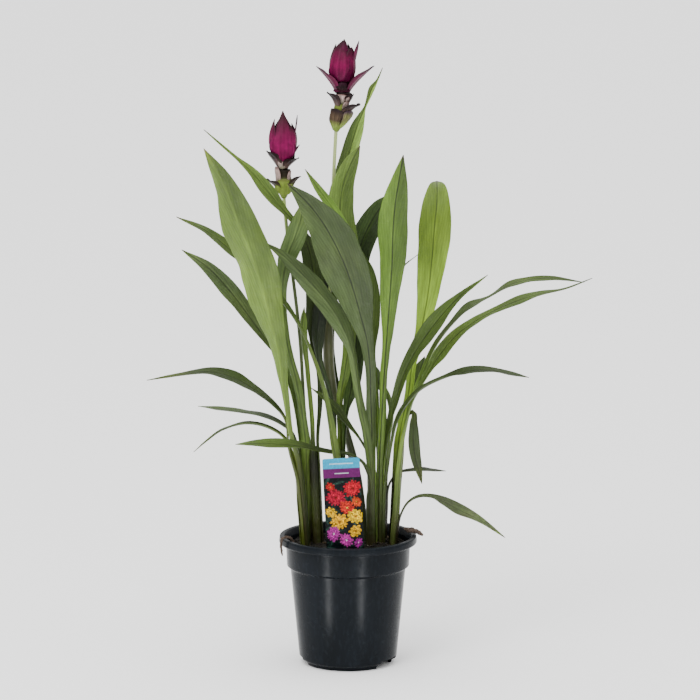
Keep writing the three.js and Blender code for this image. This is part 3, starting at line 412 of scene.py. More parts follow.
def label_print(across, down):
    """The print's colour at each place. Ring by ring, a blossom covers the places nearer to its
    middle than radius * (0.62 + 0.38 |cos(petals * angle / 2)|^0.6), lighter along each petal's
    middle and darker to the root, and has a small eye. Leaves are slanting ellipses in the dark
    ground. Bands cover the top."""
    colour = np.tile(paint("#0b1113"), (*across.shape, 1))
    chance = np.random.default_rng(4)
    rows, columns = across.shape
    speckle = chance.uniform(0.35, 1.5, (rows // 3 + 1, columns // 3))
    speckle = speckle.repeat(3, axis=0)[:rows].repeat(3, axis=1)[..., None]
    for _ in range(LEAFLET_COUNT):
        x, y = chance.uniform(-19, 19), chance.uniform(20, 104)
        slant, long = chance.uniform(0, np.pi), chance.uniform(4, 9)
        along = (across - x) * np.cos(slant) + (down - y) * np.sin(slant)
        aside = (down - y) * np.cos(slant) - (across - x) * np.sin(slant)
        cover = np.clip((1 - (along / long) ** 2 - (aside / (0.22 * long)) ** 2) * 3, 0, 1)[..., None]
        green = paint("#1b3029") * chance.uniform(0.3, 1.5) * (1 + 0.8 * (abs(aside)[..., None] < 0.3))
        colour = laid_over(colour, green, cover)
    for x, y, radius, petals, tint, eye in BLOSSOMS:
        away = np.hypot(across - x, down - y)
        angle = np.arctan2(down - y, across - x) + 0.3 * x
        angle = angle + 0.12 * np.sin(2 * angle + x) + 0.08 * np.sin(3 * angle + y)
        away = away * (1 + 0.1 * np.sin(2 * angle + y) + 0.06 * np.sin(5 * angle + x))
        for ring, share in enumerate((1.0, 0.72, 0.46)):
            wave = abs(np.cos(petals * angle / 2 + ring * np.pi / 2)) ** 0.6
            edge = radius * share * (0.62 + 0.38 * wave)
            shade = (0.3 + 0.7 * away / (radius * share)) * (0.45 + 0.55 * wave)
            streak = 1 + 0.35 * np.sin(5 * petals * angle + 1.7 * away)
            petal = paint(tint) * (shade * streak)[..., None] * (1 + 0.3 * ring)
            colour = laid_over(colour, petal, np.clip((edge - away) * 2.5, 0, 1)[..., None])
        cover = np.clip((radius * 0.16 - away) * 3, 0, 1)[..., None]
        colour = laid_over(colour, paint(eye), cover)
    colour = colour * 0.72 * speckle
    for bottom, code in ((BLUE_BAND + PURPLE_BAND, "#52144c"), (BLUE_BAND, "#1a8cb0")):
        colour = laid_over(colour, paint(code), np.clip((bottom - down) * 3, 0, 1)[..., None])
    bars = [np.exp(-((down - middle) / high) ** 2) * (abs(across) < long) for middle, high, long in BARS]
    return laid_over(colour, paint("#c4d2d6"), BAR_STRENGTH * np.max(bars, axis=0)[..., None])


def label_finish():
    """Printed plastic card with a thin gloss and the faint unevenness of a thin sheet."""
    finish, shader = new_finish("label_card", 0.3, 0.08)
    place = add_node(finish, "TexCoord").outputs["Object"]
    tint = add_node(finish, "Attribute", attribute_name="print").outputs["Color"]
    worn = blotches(finish, place, 1.6, 0.78, 1.12, detail=6)
    link(finish, shaded(finish, tint, worn), shader, "Base Color")
    raised(finish, shader, (blotches(finish, place, 16, 0, 1, detail=1), 0.15))
    return finish


def flat_ring_faces(rings, around):
    """Faces between rings whose second half runs back beside the first, and across both ends."""
    step = np.arange(around // 2 - 1)
    left, right = step, around - 1 - step
    end = np.stack([left, right, right - 1, left + 1], axis=-1)
    return [*ring_faces(rings, around, capped=False), end, end[:, ::-1] + (rings - 1) * around]


label_length = LABEL_TOP - LABEL_FOOT
label_down = np.concatenate([[0, 0.15, 0.5, 1, 1.5, 2], np.linspace(2.4, label_length, LABEL_ROWS)])
label_share = np.linspace(-1, 1, LABEL_COLUMNS)
shoulder_rise = np.clip(LABEL_SHOULDER - label_down, 0, None)
label_half = LABEL_WIDTH / 2 - LABEL_SHOULDER + np.sqrt(LABEL_SHOULDER ** 2 - shoulder_rise ** 2)
point_slope = (LABEL_WIDTH / 2 - POINT_HALF_WIDTH) / POINT_LENGTH
label_half = np.minimum(label_half, POINT_HALF_WIDTH + (label_length - label_down) * point_slope)
label_across = label_half[:, None] * label_share
label_down = np.repeat(label_down[:, None], LABEL_COLUMNS, axis=1)
label_face = np.full_like(label_across, -LABEL_THICKNESS / 2)
label_front = np.stack([label_across, label_face, LABEL_TOP - LABEL_CENTRE[2] - label_down], axis=-1)
label_rings = np.concatenate([label_front, label_front[:, ::-1] * (1, -1, 1)], axis=1)
label_back_print = np.tile(paint("#b9bcb8"), (*label_across.shape, 1))
label_colours = np.concatenate([label_print(label_across, label_down), label_back_print], axis=1)
lean = np.radians(LABEL_LEAN)
label_turn = np.array([[np.cos(lean), 0, -np.sin(lean)], [0, 1, 0], [np.sin(lean), 0, np.cos(lean)]])
# The rings run from the top down, so each face is turned round to look outwards
label_faces = [group[:, ::-1] for group in flat_ring_faces(len(label_rings), label_rings.shape[1])]
put_piece("plant_label_card", label_rings @ label_turn + LABEL_CENTRE, label_faces, label_finish(),
          "plant_label", colours={"print": label_colours})


# The shoots: false stems of leaf sheaths rolled round each other, on rhizomes under the soil. In
# the middle of eight of them a young leaf is still rolled up into a green quill.
FOOT_HEIGHT = 100
HEAD_HEIGHT = 230
PLANTING_HEIGHT = 106
CORE_RADIUS = 3
QUILL_SIDES = 24
# Each shoot: x and y of its foot and of its head, and the top of its rolled leaf
SHOOTS = {
    "a": ((-39.5, 1), (-50.5, 0), 216), "b": ((-41, 15), (-42.5, 15), None),
    "c": ((-29.5, 9), (-35, 9), 224), "d": ((24, 2), (23, 1), 214),
    "e": ((32, 12.5), (33.5, 12.5), 214), "f": ((43, 3), (54, 4), 200),
    "g": ((20.5, 21.5), (2.5, 25.5), None), "h": ((33, 30.5), (38.5, 30.5), 216),
    "i": ((-5, 4), (-9.5, 5), 214), "j": ((44.5, 21), (51, 21), 214)}


def on_axis(shoot, height):
    """The point of a shoot's straight axis at a height."""
    foot, head, _ = SHOOTS[shoot]
    share = (height - FOOT_HEIGHT) / (HEAD_HEIGHT - FOOT_HEIGHT)
    middle = np.array(foot) + (np.array(head) - np.array(foot)) * share
    return np.array([*middle, height])


def unit(vectors):
    """Vectors of length one along the given ones."""
    return vectors / np.linalg.norm(vectors, axis=-1, keepdims=True)


def cubic(ways, values, slopes, at):
    """A curve through values set at given ways along it, with given slopes there. Between two of
    them, with u from 0 to 1 and step d, it is (1 + 2u)(1 - u)^2 a + u(1 - u)^2 d slope_a
    + u^2 (3 - 2u) b + u^2 (u - 1) d slope_b."""
    index = np.clip(np.searchsorted(ways, at, side="right") - 1, 0, len(ways) - 2)
    step = ways[index + 1] - ways[index]
    u = (at - ways[index]) / step
    if values.ndim > 1:
        step, u = step[:, None], u[:, None]
    return ((1 + 2 * u) * (1 - u) ** 2 * values[index] + u * (1 - u) ** 2 * step * slopes[index]
            + u ** 2 * (3 - 2 * u) * values[index + 1] + u ** 2 * (u - 1) * step * slopes[index + 1])


def smoothly(ways, values, at):
    """A cubic through the values that never goes past them: the slope at an inner one is the
    harmonic mean of the slopes of the two chords there, or nought where they go opposite ways."""
    values = np.asarray(values, float)
    chord = np.diff(values) / np.diff(ways)
    before, after = chord[:-1], chord[1:]
    same = before * after > 0
    slopes = np.concatenate([chord[:1], np.zeros(len(before)), chord[-1:]])
    slopes[1:-1][same] = (2 * before * after)[same] / (before + after)[same]
    return cubic(ways, values, slopes, at)


def ways_between(points):
    """The way along the chords to each point, from the first."""
    return np.concatenate([[0], np.cumsum(np.linalg.norm(np.diff(points, axis=0), axis=1))])


def directions(points, first=None):
    """The way that a curve runs at each point: at an inner one, the two chords that meet there are
    blended, each weighed by the other's length. The first direction may be given."""
    chords = np.diff(points, axis=0)
    lengths = np.linalg.norm(chords, axis=1, keepdims=True)
    along = chords / lengths
    inner = unit(along[:-1] * lengths[1:] + along[1:] * lengths[:-1])
    return np.vstack([along[:1] if first is None else first[None], inner, along[-1:]])


def tube(rows, around, step, dents=0.0, seed=1):
    """A rod along rows [x, y, z, radius]: a cubic through their points, with the radius carried the
    same way, and square to it at each station a ring: path + radius * (side cos + other sin).
    Dents, as a share of the radius, are slow waves round and along it. Also gives its UV map,
    which runs round and along in metres."""
    rows = np.asarray(rows, float)
    points = rows[:, :3]
    ways = ways_between(points)
    at = np.linspace(0, ways[-1], max(int(ways[-1] / step), len(rows)) + 1)
    path = cubic(ways, points, directions(points), at)
    radius = smoothly(ways, rows[:, 3], at)
    along = unit(np.gradient(path, at, axis=0))
    side = unit(np.array([1, 0, 0]) - along * along[:, :1])
    other = np.cross(along, side)
    angle = np.arange(around) * 2 * np.pi / around
    chance = np.random.default_rng(seed)
    swell = np.ones((len(at), around))
    for turns in (2, 3, 5):
        shift = chance.uniform(0, 2 * np.pi, 2)
        sway = np.sin(at[:, None] / 4 * turns + shift[1])
        swell += dents / 3 * np.sin(turns * angle + shift[0] + sway * 2)
    reach = radius[:, None, None] * swell[..., None]
    rings = path[:, None] + reach * (side[:, None] * np.cos(angle)[:, None]
                                     + other[:, None] * np.sin(angle)[:, None])
    round_way = np.repeat((angle * radius.mean() * MM)[None], len(at), axis=0)
    surface = np.stack([round_way, np.repeat(at[:, None] * MM, around, axis=1)], axis=-1)
    return rings, surface


def put_rod(name, rows, around, step, finish, node):
    """Makes a piece of a rod, with its UV map."""
    rings, surface = tube(rows, around, step)
    put_piece(name, rings, ring_faces(len(rings), around), finish, node, maps={"surface": surface})


def maths(finish, operation, *values):
    """The sum, the product or another reckoning of values."""
    return add_node(finish, "Math", dict(enumerate(values)), operation=operation).outputs[0]


def stripes(finish, across, spacing, low, high):
    """Fine lines side by side: a wave of the given spacing in mm over a distance in metres."""
    angle = maths(finish, "MULTIPLY", across, 2 * np.pi / (spacing * MM))
    return ranged(finish, maths(finish, "SINE", angle), -1.0, 1.0, low, high)


def stem_finish(name, colour, foot, head, stain_and_shade):
    """The skin of a living stem: satin, finely ribbed along, with pale and dark patches, and a dark
    colour, partly real stain and partly painted shade low among the leaves, that fades out from
    foot to head."""
    finish, shader = new_finish(name, 0.42, 0.25)
    place = add_node(finish, "TexCoord").outputs["Object"]
    surface = add_node(finish, "UVMap", uv_map="surface").outputs[0]
    around = add_node(finish, "SeparateXYZ", {0: surface}).outputs[0]
    height = add_node(finish, "SeparateXYZ", {0: place}).outputs[2]
    patches = blotches(finish, place, 5, -0.2, 0.55, detail=4, stretch=(1, 1, 0.25))
    skin = mixed(finish, patches, opaque(colour), opaque(stain_and_shade))
    # Darker towards the foot: partly real stain, partly painted shade low among the leaves
    skin = mixed(finish, ranged(finish, height, foot * MM, head * MM, 0.9, 0.0), skin, opaque(stain_and_shade))
    ribs = stripes(finish, around, 0.85, 0.82, 1.1)
    link(finish, shaded(finish, skin, ribs), shader, "Base Color")
    raised(finish, shader, (ribs, 0.05))
    return finish


quill_finish = stem_finish("rolled_leaf_skin", "#3a461a", 118, 178, "#1a1d0c")
for shoot, (_, _, top) in SHOOTS.items():
    if top is not None:
        quill = [[*on_axis(shoot, height), radius] for height, radius in (
            (PLANTING_HEIGHT, CORE_RADIUS), (top - 26, CORE_RADIUS), (top - 10, 1.8), (top, 0.5))]
        put_rod(f"rolled_leaf_{shoot}", quill, QUILL_SIDES, 3, quill_finish,
                f"shoot_{shoot}")


# The leaves: long thin blades, each with a channelled stalk whose sheath wraps the shoot. Each is
# one living sheet with a sunken midrib and fine veins that run out to its tip at a slant, in greens
# of its own for its upper face, its underside and its stalk, over which painted light and shade lie.
# Its very tip is dry.
SHEATH_RADIUS = 4
SHEATH_STEP = 1.35
# How much wider the sheaths of two crowded shoots are
SHEATH_SWELL = {"b": 2.2, "c": 1.6}
BLADE_THICKNESS = 0.7
EDGE_THICKNESS = 0.4
# Half the angle of the cross-section's arc, in a stalk up to one width and in a blade from another
CHANNEL_CURL = 70
BLADE_CURL = 22
STALK_WIDTH = 6
BLADE_WIDTH = 16
# Widths between which a stalk's colour gives way to a blade's and its groove grows
STALK_MOST = 4
BLADE_LEAST = 12
# Slow waves and a fine ruffle of the edges, their heights as shares of the width
WAVE_LENGTH = 85
WAVE_HEIGHT = 0.06
RUFFLE_LENGTH = 27
RUFFLE_HEIGHT = 0.012
# The groove of the midrib, as shares of half the width
RIB_DEPTH = 0.055
RIB_WIDTH = 0.13
# How steeply the front view looks down
VIEW_SLOPE = 0.1835
LEAF_STEP = 2.6
# The stretch before the tip where the waves and the groove die out
CALM_LENGTH = 30
# Shares of the way to the tip where a leaf's four brightnesses of painted light and shade stand,
# between its two ends
TONE_PLACES = np.array([0, 0.12, 0.37, 0.62, 0.87, 1])
# Painted shade and light across a leaf: brightness at the midrib, darker with painted shade, what
# the edge has more as painted light, how sharply the painted light of the two sides of the midrib
# parts, and how bright a stalk's upper face is, darker with painted shade inside its channel
MIDRIB_SHADE = 0.93
EDGE_LIGHT = 0.14
SIDE_SHARPNESS = 4
STALK_CHANNEL_SHADE = 0.92
# How much sooner the blade's colour is full than its shape
COLOUR_LEAD = 1.4
# The dry tip: where it starts, over what share of the way it grows, its strength and its colour
DRY_START = 0.988
DRY_RUN = 0.01
DRY_STRENGTH = 0.8
DRY_COLOUR = "#5a4a2c"
# Veins: their slope from the midrib, and in metres how far they stray
VEIN_SLANT = 0.11
VEIN_STRAY = 0.0004
# Metres from the midrib's middle where its line is full and has faded, and where the pale line
# beside it is and has
RIB_LINE = (0.00025, 0.0011)
PALE_LINE = (0.0013, 0.0026)
# Heights in metres where the dark brown at the soil, partly real stain and partly painted shade
# low in the clump, is full and where it ends
SOIL_STAIN_AND_SHADE = (0.118, 0.23)
# Points across a leaf, as shares of half its width
LEAF_SHARES = np.array([-1, -0.96, -0.87, -0.74, -0.6, -0.45, -0.32, -0.22, -0.15, -0.1, -0.05, 0,
                        0.05, 0.1, 0.15, 0.22, 0.32, 0.45, 0.6, 0.74, 0.87, 0.96, 1])

# The greens that the leaves are made of
GREENS = {
    "pale": "#5c742c", "apple": "#5f7822", "bright": "#506b24", "mid": "#4c6027", "grey": "#43532c",
    "dull": "#374818", "dark": "#283716", "straw": "#5d6e1e", "moss": "#405312"}
# Each leaf: its shoot, its sheath's layer, half the angle that the sheath wraps, the height where
# it leaves, its turn there and the lean of its tip to the back; then its kind, the greens of its
# upper face, its underside and its stalk, its midrib's tone, below nought where it is darker than
# the blade with the painted shade of its groove, how much brighter with painted light the half to
# the right of the midrib is, and its painted light and shade: how bright it is in its foot, its
# lower half, its upper half and towards its tip; then rows [x, y, z, width, turn]
LEAVES = {
    "left_broad": (("a", 0, 70, 205, 120, -30),
        ("light", "pale", "pale", "straw", 0.45, 0.22, (0.36, 0.95, 0.98, 0.7)), (
        (-58, -7, 231, 8, 122), (-65, -13, 284, 10, 138), (-70, -17, 323, 18, 152),
        (-77, -21, 352, 27, 160), (-90, -27, 406, 40, 165), (-107, -33, 452, 37, 165),
        (-125, -40, 501, 19, 165), (-142, -45, 532, 1.5, 165))),
    "left_low_arch": (("a", 1, 60, 182, 95, -30),
        ("dark", "dull", "grey", "straw", -0.4, 0, (0.95, 0.55, 0.75, 0.6)), (
        (-61, 3, 222, 5, 92), (-65, 1, 252, 6, 85), (-77, -2, 267, 12, 75), (-94, -6, 282, 17, 70),
        (-114, -10, 295, 19, 70), (-137, -12, 301.5, 14, 70), (-169, -14, 299, 7, 70),
        (-201, -15, 294, 1.2, 70))),
    "left_lowest": (("a", 2, 50, 160, 60, 30),
        ("dark", "grey", "mid", "straw", -0.4, 0, (1.3, 1.1, 0.7, 0.6)), (
        (-58, 10, 214, 5, 65), (-65, 10, 229, 6, 80), (-79, 9, 239, 8, 88), (-99, 7, 244.5, 9, 88),
        (-126, 5, 239, 9, 88), (-145, 4, 226, 6, 88), (-157, 3, 216, 1.2, 88))),
    "left_dark": (("b", 0, 55, 205, 57, 35),
        ("dark", "grey", "grey", "mid", -0.5, 0, (1.6, 2, 1.05, 0.95)), (
        (-49.4, 15.4, 227, 7, 60), (-54.5, 14, 263, 7, 60), (-61, 12, 289, 7, 45), (-69, 11, 312, 7, 35),
        (-82, 9, 330, 8, 30), (-99, 6, 354, 15, 28), (-119, 4, 381.5, 18, 25), (-139, 2, 404, 13, 25),
        (-168, 0, 425, 1.2, 25))),
    "centre_left": (("b", 0, 60, 212, 181, 0),
        ("mid", "grey", "grey", "mid", -0.4, 0, (2.1, 1.5, 1.65, 1.7)), (
        (-45.5, 6, 249, 8, 181), (-52.5, 5, 291, 8, 180), (-60, 5, 321, 7.5, 180), (-65, 6, 352, 7, 180),
        (-66, 8, 377, 8.5, 180), (-64, 8, 402, 14, 180), (-59.5, 8, 420, 19.5, 180),
        (-52.5, 8, 438, 21, 180), (-47, 8, 456, 15, 180), (-44.5, 8, 473, 1.2, 180))),
    "left_short_arch": (("b", 1, 60, 182, 95, 50),
        ("dark", "grey", "mid", "mid", -0.4, 0, (0.8, 0.8, 0.45, 0.9)), (
        (-51, 12.5, 217, 5, 90), (-59, 11, 236, 6, 82), (-69, 10, 244, 8, 80), (-87, 9, 252, 12, 80),
        (-107, 7, 256.5, 12, 80), (-129, 5, 260, 9, 80), (-153, 4, 263, 1.2, 80))),
    "upper_left_narrow": (("c", 0, 50, 200, -80, 0),
        ("dark", "mid", "dull", "moss", -0.35, 0, (1, 0.35, 0.4, 1.55)), (
        (-29.5, 9.5, 228, 6.5, -75), (-27, 10, 264, 6.5, -50), (-28, 13, 294, 6.5, -20),
        (-33, 17, 324, 9, 5), (-34, 19, 355, 19, 15), (-34.5, 20, 390, 21, 20), (-41, 18, 425, 16, 25),
        (-52, 14, 447, 7, 35), (-64, 8, 462, 10, 45), (-80, 0, 483, 16, 45), (-98, -3, 505, 11, 50),
        (-112, -5, 518, 6, 60), (-144, -7, 547, 1.2, 50))),
    "small_inner": (("c", 0, 50, 205, 165, 0),
        ("mid", "mid", "mid", "moss", -0.3, 0, (1, 0.1, 1.25, 1.15)), (
        (-36, 2.5, 229, 4.5, 165), (-39, 2, 276, 4.5, 160), (-42, 2, 307, 5, 155), (-45, 2, 327, 7, 150),
        (-46, 3, 347, 8.5, 150), (-44, 4, 365, 1.2, 150))),
    "left_bright": (("i", 1, 60, 145, 175, 0),
        ("light", "mid", "mid", "straw", -0.35, 0, (0.85, 0.8, 0.75, 0.83)), (
        (-8, -8, 180, 8, 165), (-13, -20, 218, 9, 150), (-18, -18, 249, 9, 135), (-27, -14, 289, 9, 115),
        (-37, -11, 319, 8.5, 100), (-50, -7, 348, 9, 90), (-64, -4, 369, 10, 75), (-86, -3, 393, 11, 65),
        (-108, -4, 415, 12, 60), (-124, -5, 430, 15, 58), (-142, -6, 444, 11, 58),
        (-172, -8, 459, 1.2, 58))),
    "behind_scape": (("i", 0, 60, 205, -40, 5),
        ("mid", "mid", "mid", "moss", -0.5, -0.3, (1.2, 1.3, 1.45, 1.35)), (
        (-7, 9.5, 238, 6, -35), (-7, 12, 274, 7, -15), (-3, 13, 299, 10, 0), (1, 14, 325, 12, 0),
        (3, 16, 360, 17, 0), (2, 18, 396, 23, 0), (-3, 18, 432, 27, 0), (-8, 17, 465, 26, 0),
        (-4, 15, 491, 21, 0), (4, 13, 512, 14, 0), (12, 12, 528, 1.2, 0))),
    "right_dark_upper": (("i", 1, 55, 185, -55, 25),
        ("dark", "dark", "dark", "dark", -0.6, -0.35, (4, 2.6, 1.5, 1.4)), (
        (-3, 12.5, 227, 5.5, -50), (-1, 16, 256, 7, -30), (4, 20, 283, 16, -10), (8, 24, 318, 18, 0),
        (8, 28, 358, 20, 0), (7, 30, 391, 24, 0), (13, 30, 425, 26, 0), (22, 28, 446, 25, 0),
        (33, 26, 464, 18, 0), (44, 25, 478, 1.2, 0))),
    "inner_dark": (("i", 0, 60, 200, 130, 0),
        ("dark", "dark", "dark", "dark", -0.45, 0, (0.8, 0.42, 0.95, 0.27)), (
        (-14, 2, 229, 4.5, 135), (-15, 6, 254, 4.5, 145), (-21, 5, 285, 5, 155), (-30, 5, 314, 7, 160),
        (-31, 8, 336, 14, 165), (-28, 9, 360, 15, 170), (-20, 9, 398, 1.2, 170))),
    "tallest": (("g", 1, 65, 195, 20, 40),
        ("mid", "mid", "mid", "mid", -0.6, 0.55, (0.4, 0.3, 0.5, 1.95)), (
        (0, 33, 223, 7, 15), (-10, 38, 264, 7, 5), (-17, 40, 305, 8, 0), (-18, 41, 346, 10, 0),
        (-17, 42, 387, 16, 0), (-15, 43, 428, 20, 0), (-10, 43, 468, 21, 0), (-2, 42, 504, 17, 0),
        (7, 40, 538, 15, 0), (10, 39, 547.5, 12.5, 5), (13, 38, 555, 8.5, 15), (17.5, 38, 566, 2.6, 20),
        (20.8, 37, 575, 4.2, 10), (24, 36, 584, 6, 0), (29.5, 36, 593, 2.2, 0), (35, 35, 606, 1.2, 0))),
    "light_tip": (("d", 1, 55, 188, -10, 0),
        ("light", "bright", "bright", "mid", -0.3, 0, (4.5, 1.3, 0.3, 1.3)), (
        (25, 9, 228, 6, -8), (23, 6, 270, 6, 0), (20, 1, 307, 6, 0), (16, -3, 338, 7, 0),
        (10, -6, 380, 10, 0), (3, -6, 420, 11, 0), (-5, -4, 449, 10, 10), (-17, -3, 469, 10, 20),
        (-28, -2, 484, 8, 20), (-43, 0, 506, 1.2, 20))),
    "centre_broad": (("d", 0, 70, 206, 0, -35),
        ("grey", "grey", "mid", "mid", -0.72, -0.2, (3.2, 0.82, 0.76, 0.81)), (
        (24, 3, 232, 9, 0), (23, -6, 273, 9.5, 0), (22, -13, 307, 10, 0), (19, -17, 335, 14, 0),
        (13, -20, 359, 24, 0), (6, -23, 385, 37, 0), (-3, -25, 412, 46, 0), (-13, -26, 434, 44, 0),
        (-25, -25, 455, 34, 0), (-38, -22, 472, 22, 0), (-60, -18, 493, 1.5, 0))),
    "centre_diagonal": (("d", 0, 70, 190, 180, -10),
        ("grey", "dull", "grey", "mid", -0.3, 0.15, (0.9, 0.95, 1, 0.87)), (
        (19.5, -6.5, 231, 8, 180), (13.2, -9.5, 264, 8, 190), (9, -11, 294, 8, 195), (4, -13, 323, 9, 200),
        (-4, -13, 345, 17, 200), (-15, -12, 365, 21, 200), (-30, -11, 384, 21, 200),
        (-48, -9, 403, 17, 200), (-65, -9, 420, 9, 200), (-84, -12, 434, 1.2, 200))),
    "left_front_low": (("d", 1, 55, 165, 160, -15),
        ("dark", "dull", "mid", "mid", -0.45, 0, (0.78, 0.55, 0.55, 1.5)), (
        (20, -8, 196, 5, 140), (12, -10, 210, 6, 110), (0, -9.5, 216, 7.5, 90), (-14, -7.5, 217, 8.5, 80),
        (-30, -13, 221, 10, 75), (-50, -17, 227, 13, 70), (-70, -18, 229, 14, 65),
        (-91, -18, 229.5, 11, 65), (-113, -18, 229, 1.2, 65))),
    "right_tall": (("e", 0, 50, 200, 160, -25),
        ("light", "bright", "bright", "mid", -0.85, 0.3, (1.35, 1.4, 1.2, 0.9)), (
        (33, 5.5, 229, 7, 165), (35, 1, 271, 7, 175), (38, -2, 321, 8, 180), (40, -4, 349, 13, 180),
        (42, -6, 378, 19, 180), (44, -7, 410, 25, 180), (45, -8, 444, 30, 180), (47, -9, 471, 26, 180),
        (51, -10, 497, 15, 180), (55, -11, 521, 1.2, 180))),
    "right_inner_dark": (("e", 0, 50, 202, 40, 10),
        ("dark", "mid", "dull", "mid", -0.5, 0, (2.4, 3.1, 1, 0.83)), (
        (29.5, 17, 226, 5.5, 30), (28, 17, 268, 6, 5), (25, 17, 299, 7, 0), (23, 17, 319, 10, 0),
        (24, 18, 345, 16, 0), (23, 19, 370, 18, 0), (20, 20, 396, 15, 0), (13, 21, 421, 1.2, 0))),
    "right_rising": (("e", 0, 50, 195, -80, -35),
        ("dark", "dull", "grey", "mid", -0.5, 0, (7, 1.3, 0.95, 1.15)), (
        (39, 14.5, 217, 7, -75), (43, 11, 244, 8, -55), (49, 4, 272, 10, -45), (58, -3, 302, 14, -45),
        (69, -7, 324, 18, -45), (82, -9, 344, 20, -45), (95, -11, 361, 17, -45), (110, -13, 377, 10, -50),
        (139, -17, 401, 1.2, -60))),
    "right_low_arch": (("e", 1, 55, 165, -100, -45),
        ("dark", "dull", "grey", "mid", -0.5, 0, (0.92, 0.9, 0.68, 0.5)), (
        (41, 9, 199, 6.5, -95), (45, 5, 226, 7.5, -85), (50, -1, 249, 9, -80), (59, -8, 267, 10, -80),
        (72, -10, 282, 9, -80), (93, -12, 294, 8, -85), (121, -15, 303, 14, -75), (145, -17, 304, 12, -75),
        (163, -19, 301, 8, -70), (180, -21, 298, 1.2, -70))),
    "arch_left_dark": (("e", 1, 60, 175, 90, 0),
        ("dark", "dull", "dull", "mid", -0.4, 0, (2.9, 1, 0.72, 0.7)), (
        (26, 14, 198, 4.5, 90), (18, 12, 216, 4.5, 85), (9, 7, 232, 5, 80), (-2, 2, 246, 9, 60),
        (-11, 0, 259, 13, 50), (-23, 0, 272, 7, 50), (-37, 0, 283, 1.2, 50))),
    "right_rounded": (("f", 0, 70, 178, 20, 15),
        ("light", "apple", "apple", "mid", -0.6, 0.08, (0.25, 1.9, 1.68, 0.85)), (
        (49, 11, 202, 8, 10), (52, 12, 231, 8, 0), (56, 12, 253, 8, 0), (61, 12, 274, 8, 0),
        (65, 12, 305, 8.5, 0), (71, 12, 328, 10, 0), (77, 12, 356, 17, 0), (82, 13, 387, 24, 0),
        (85, 14, 417, 30, 0), (87, 16, 444, 33, 0), (89.5, 21, 468, 27.5, 0), (90, 27, 479, 21.5, 0),
        (90, 36, 485, 14.5, 0), (90, 50, 487, 2, 0))),
    "right_long_lower": (("f", 0, 70, 168, -150, -25),
        ("mid", "mid", "mid", "mid", -0.45, 0, (1.5, 1.45, 1.07, 0.72)), (
        (51.5, 0, 188, 7, -145), (55, 1.5, 219, 7, -120), (60, 4, 248, 7, -90), (65, 5, 267, 7, -70),
        (74, 5, 284, 7, -60), (85, 5, 304, 11, -50), (95, 3, 320, 15, -45), (109, 0, 337, 14, -50),
        (128, -4, 352, 12, -55), (150, -9, 365, 10, -65), (172, -13, 375, 12, -60), (192, -17, 382, 9, -65),
        (214, -20, 387, 4, -70), (243, -24, 399, 1.2, -60))),
    "right_lowest": (("f", 1, 55, 130, -90, -40),
        ("dark", "grey", "mid", "mid", -0.35, 0, (0.06, 0.75, 1.2, 2.4)), (
        (54.8, 3.5, 153, 4.5, -90), (61, 3, 163.5, 5, -88), (70, 2, 169.5, 6, -85), (83, 1, 170.5, 8, -80),
        (96, 0, 166, 13, -65), (113, -2, 157.5, 15, -60), (130, -3, 149.5, 11, -60),
        (158, -4, 131, 1.2, -60))),
    "short_back": (("h", 0, 70, 205, 180, 0),
        ("dark", "mid", "grey", "mid", -0.4, 0, (1.3, 1.35, 2.4, 1.05)), (
        (41, 23.5, 230, 4.5, 180), (43.5, 23, 254, 4.5, 180), (40, 23, 271, 5, 180),
        (32, 22.5, 283, 10, 180), (26, 22, 294, 13, 180), (21, 21, 306, 1.5, 180))),
    "thin_tip": (("h", 0, 70, 200, 20, 20),
        ("dark", "dull", "mid", "mid", -0.4, 0, (0.9, 0.9, 0.9, 0.9)), (
        (38, 34.5, 223, 4.5, 20), (36, 34, 264, 4.5, 10), (38, 32, 306, 4.5, 10), (41, 30, 348, 7, 20),
        (45, 28, 379, 7, 40), (52, 26, 399, 5, 60), (73, 22, 418, 1.2, 80))),
    "flat_low_right": (("h", 1, 55, 152, -90, 25),
        ("dark", "dull", "mid", "dull", -0.4, 0, (1, 0.6, 0.5, 0.5)), (
        (45.5, 31, 182, 5, -90), (53, 32, 189, 5, -90), (63, 30, 191, 8, -88), (77, 28, 192, 11, -85),
        (89, 26, 192, 8, -85), (100, 24, 192, 1.2, -85))),
    "right_long_upper": (("j", 0, 55, 200, -80, 30),
        ("dark", "mid", "mid", "mid", -0.45, 0, (1.2, 2.5, 0.55, 0.7)), (
        (57, 24, 225, 6, -75), (65, 27, 261, 6.5, -65), (77, 31, 294, 7, -60), (90, 36, 321, 7, -60),
        (106, 42, 341, 9, -75), (124, 48, 358, 13, -70), (144, 54, 367, 9, -85), (167, 60, 379, 12, -65),
        (185, 64, 383, 9, -70), (206, 68, 384, 7, -60), (242, 74, 379, 1.2, -60))),
    "back_short": (("j", 0, 55, 200, 40, 20),
        ("dark", "dull", "dull", "dark", -0.4, 0, (0.8, 0.9, 0.9, 1.1)), (
        (50, 28, 225, 4.5, 30), (57, 35, 252, 6, 0), (68, 38.5, 277, 10, -20), (74, 39, 295, 12, -20),
        (78, 40, 308, 2, -20))),
    "right_droop": (("j", 1, 50, 165, -110, 0),
        ("dark", "grey", "grey", "straw", -0.5, 0, (0.8, 0.8, 0.8, 0.63)), (
        (56, 17, 206, 5, -100), (58.5, 17, 239, 5, -85), (61.5, 17, 251, 5, -75), (64.5, 16, 254, 6, -55),
        (65.5, 14, 244, 9, -35), (66, 12, 225, 13, -30), (68.5, 11, 207, 12, -30), (72, 11, 194, 7, -30),
        (75, 11, 182, 1.2, -30))),
}


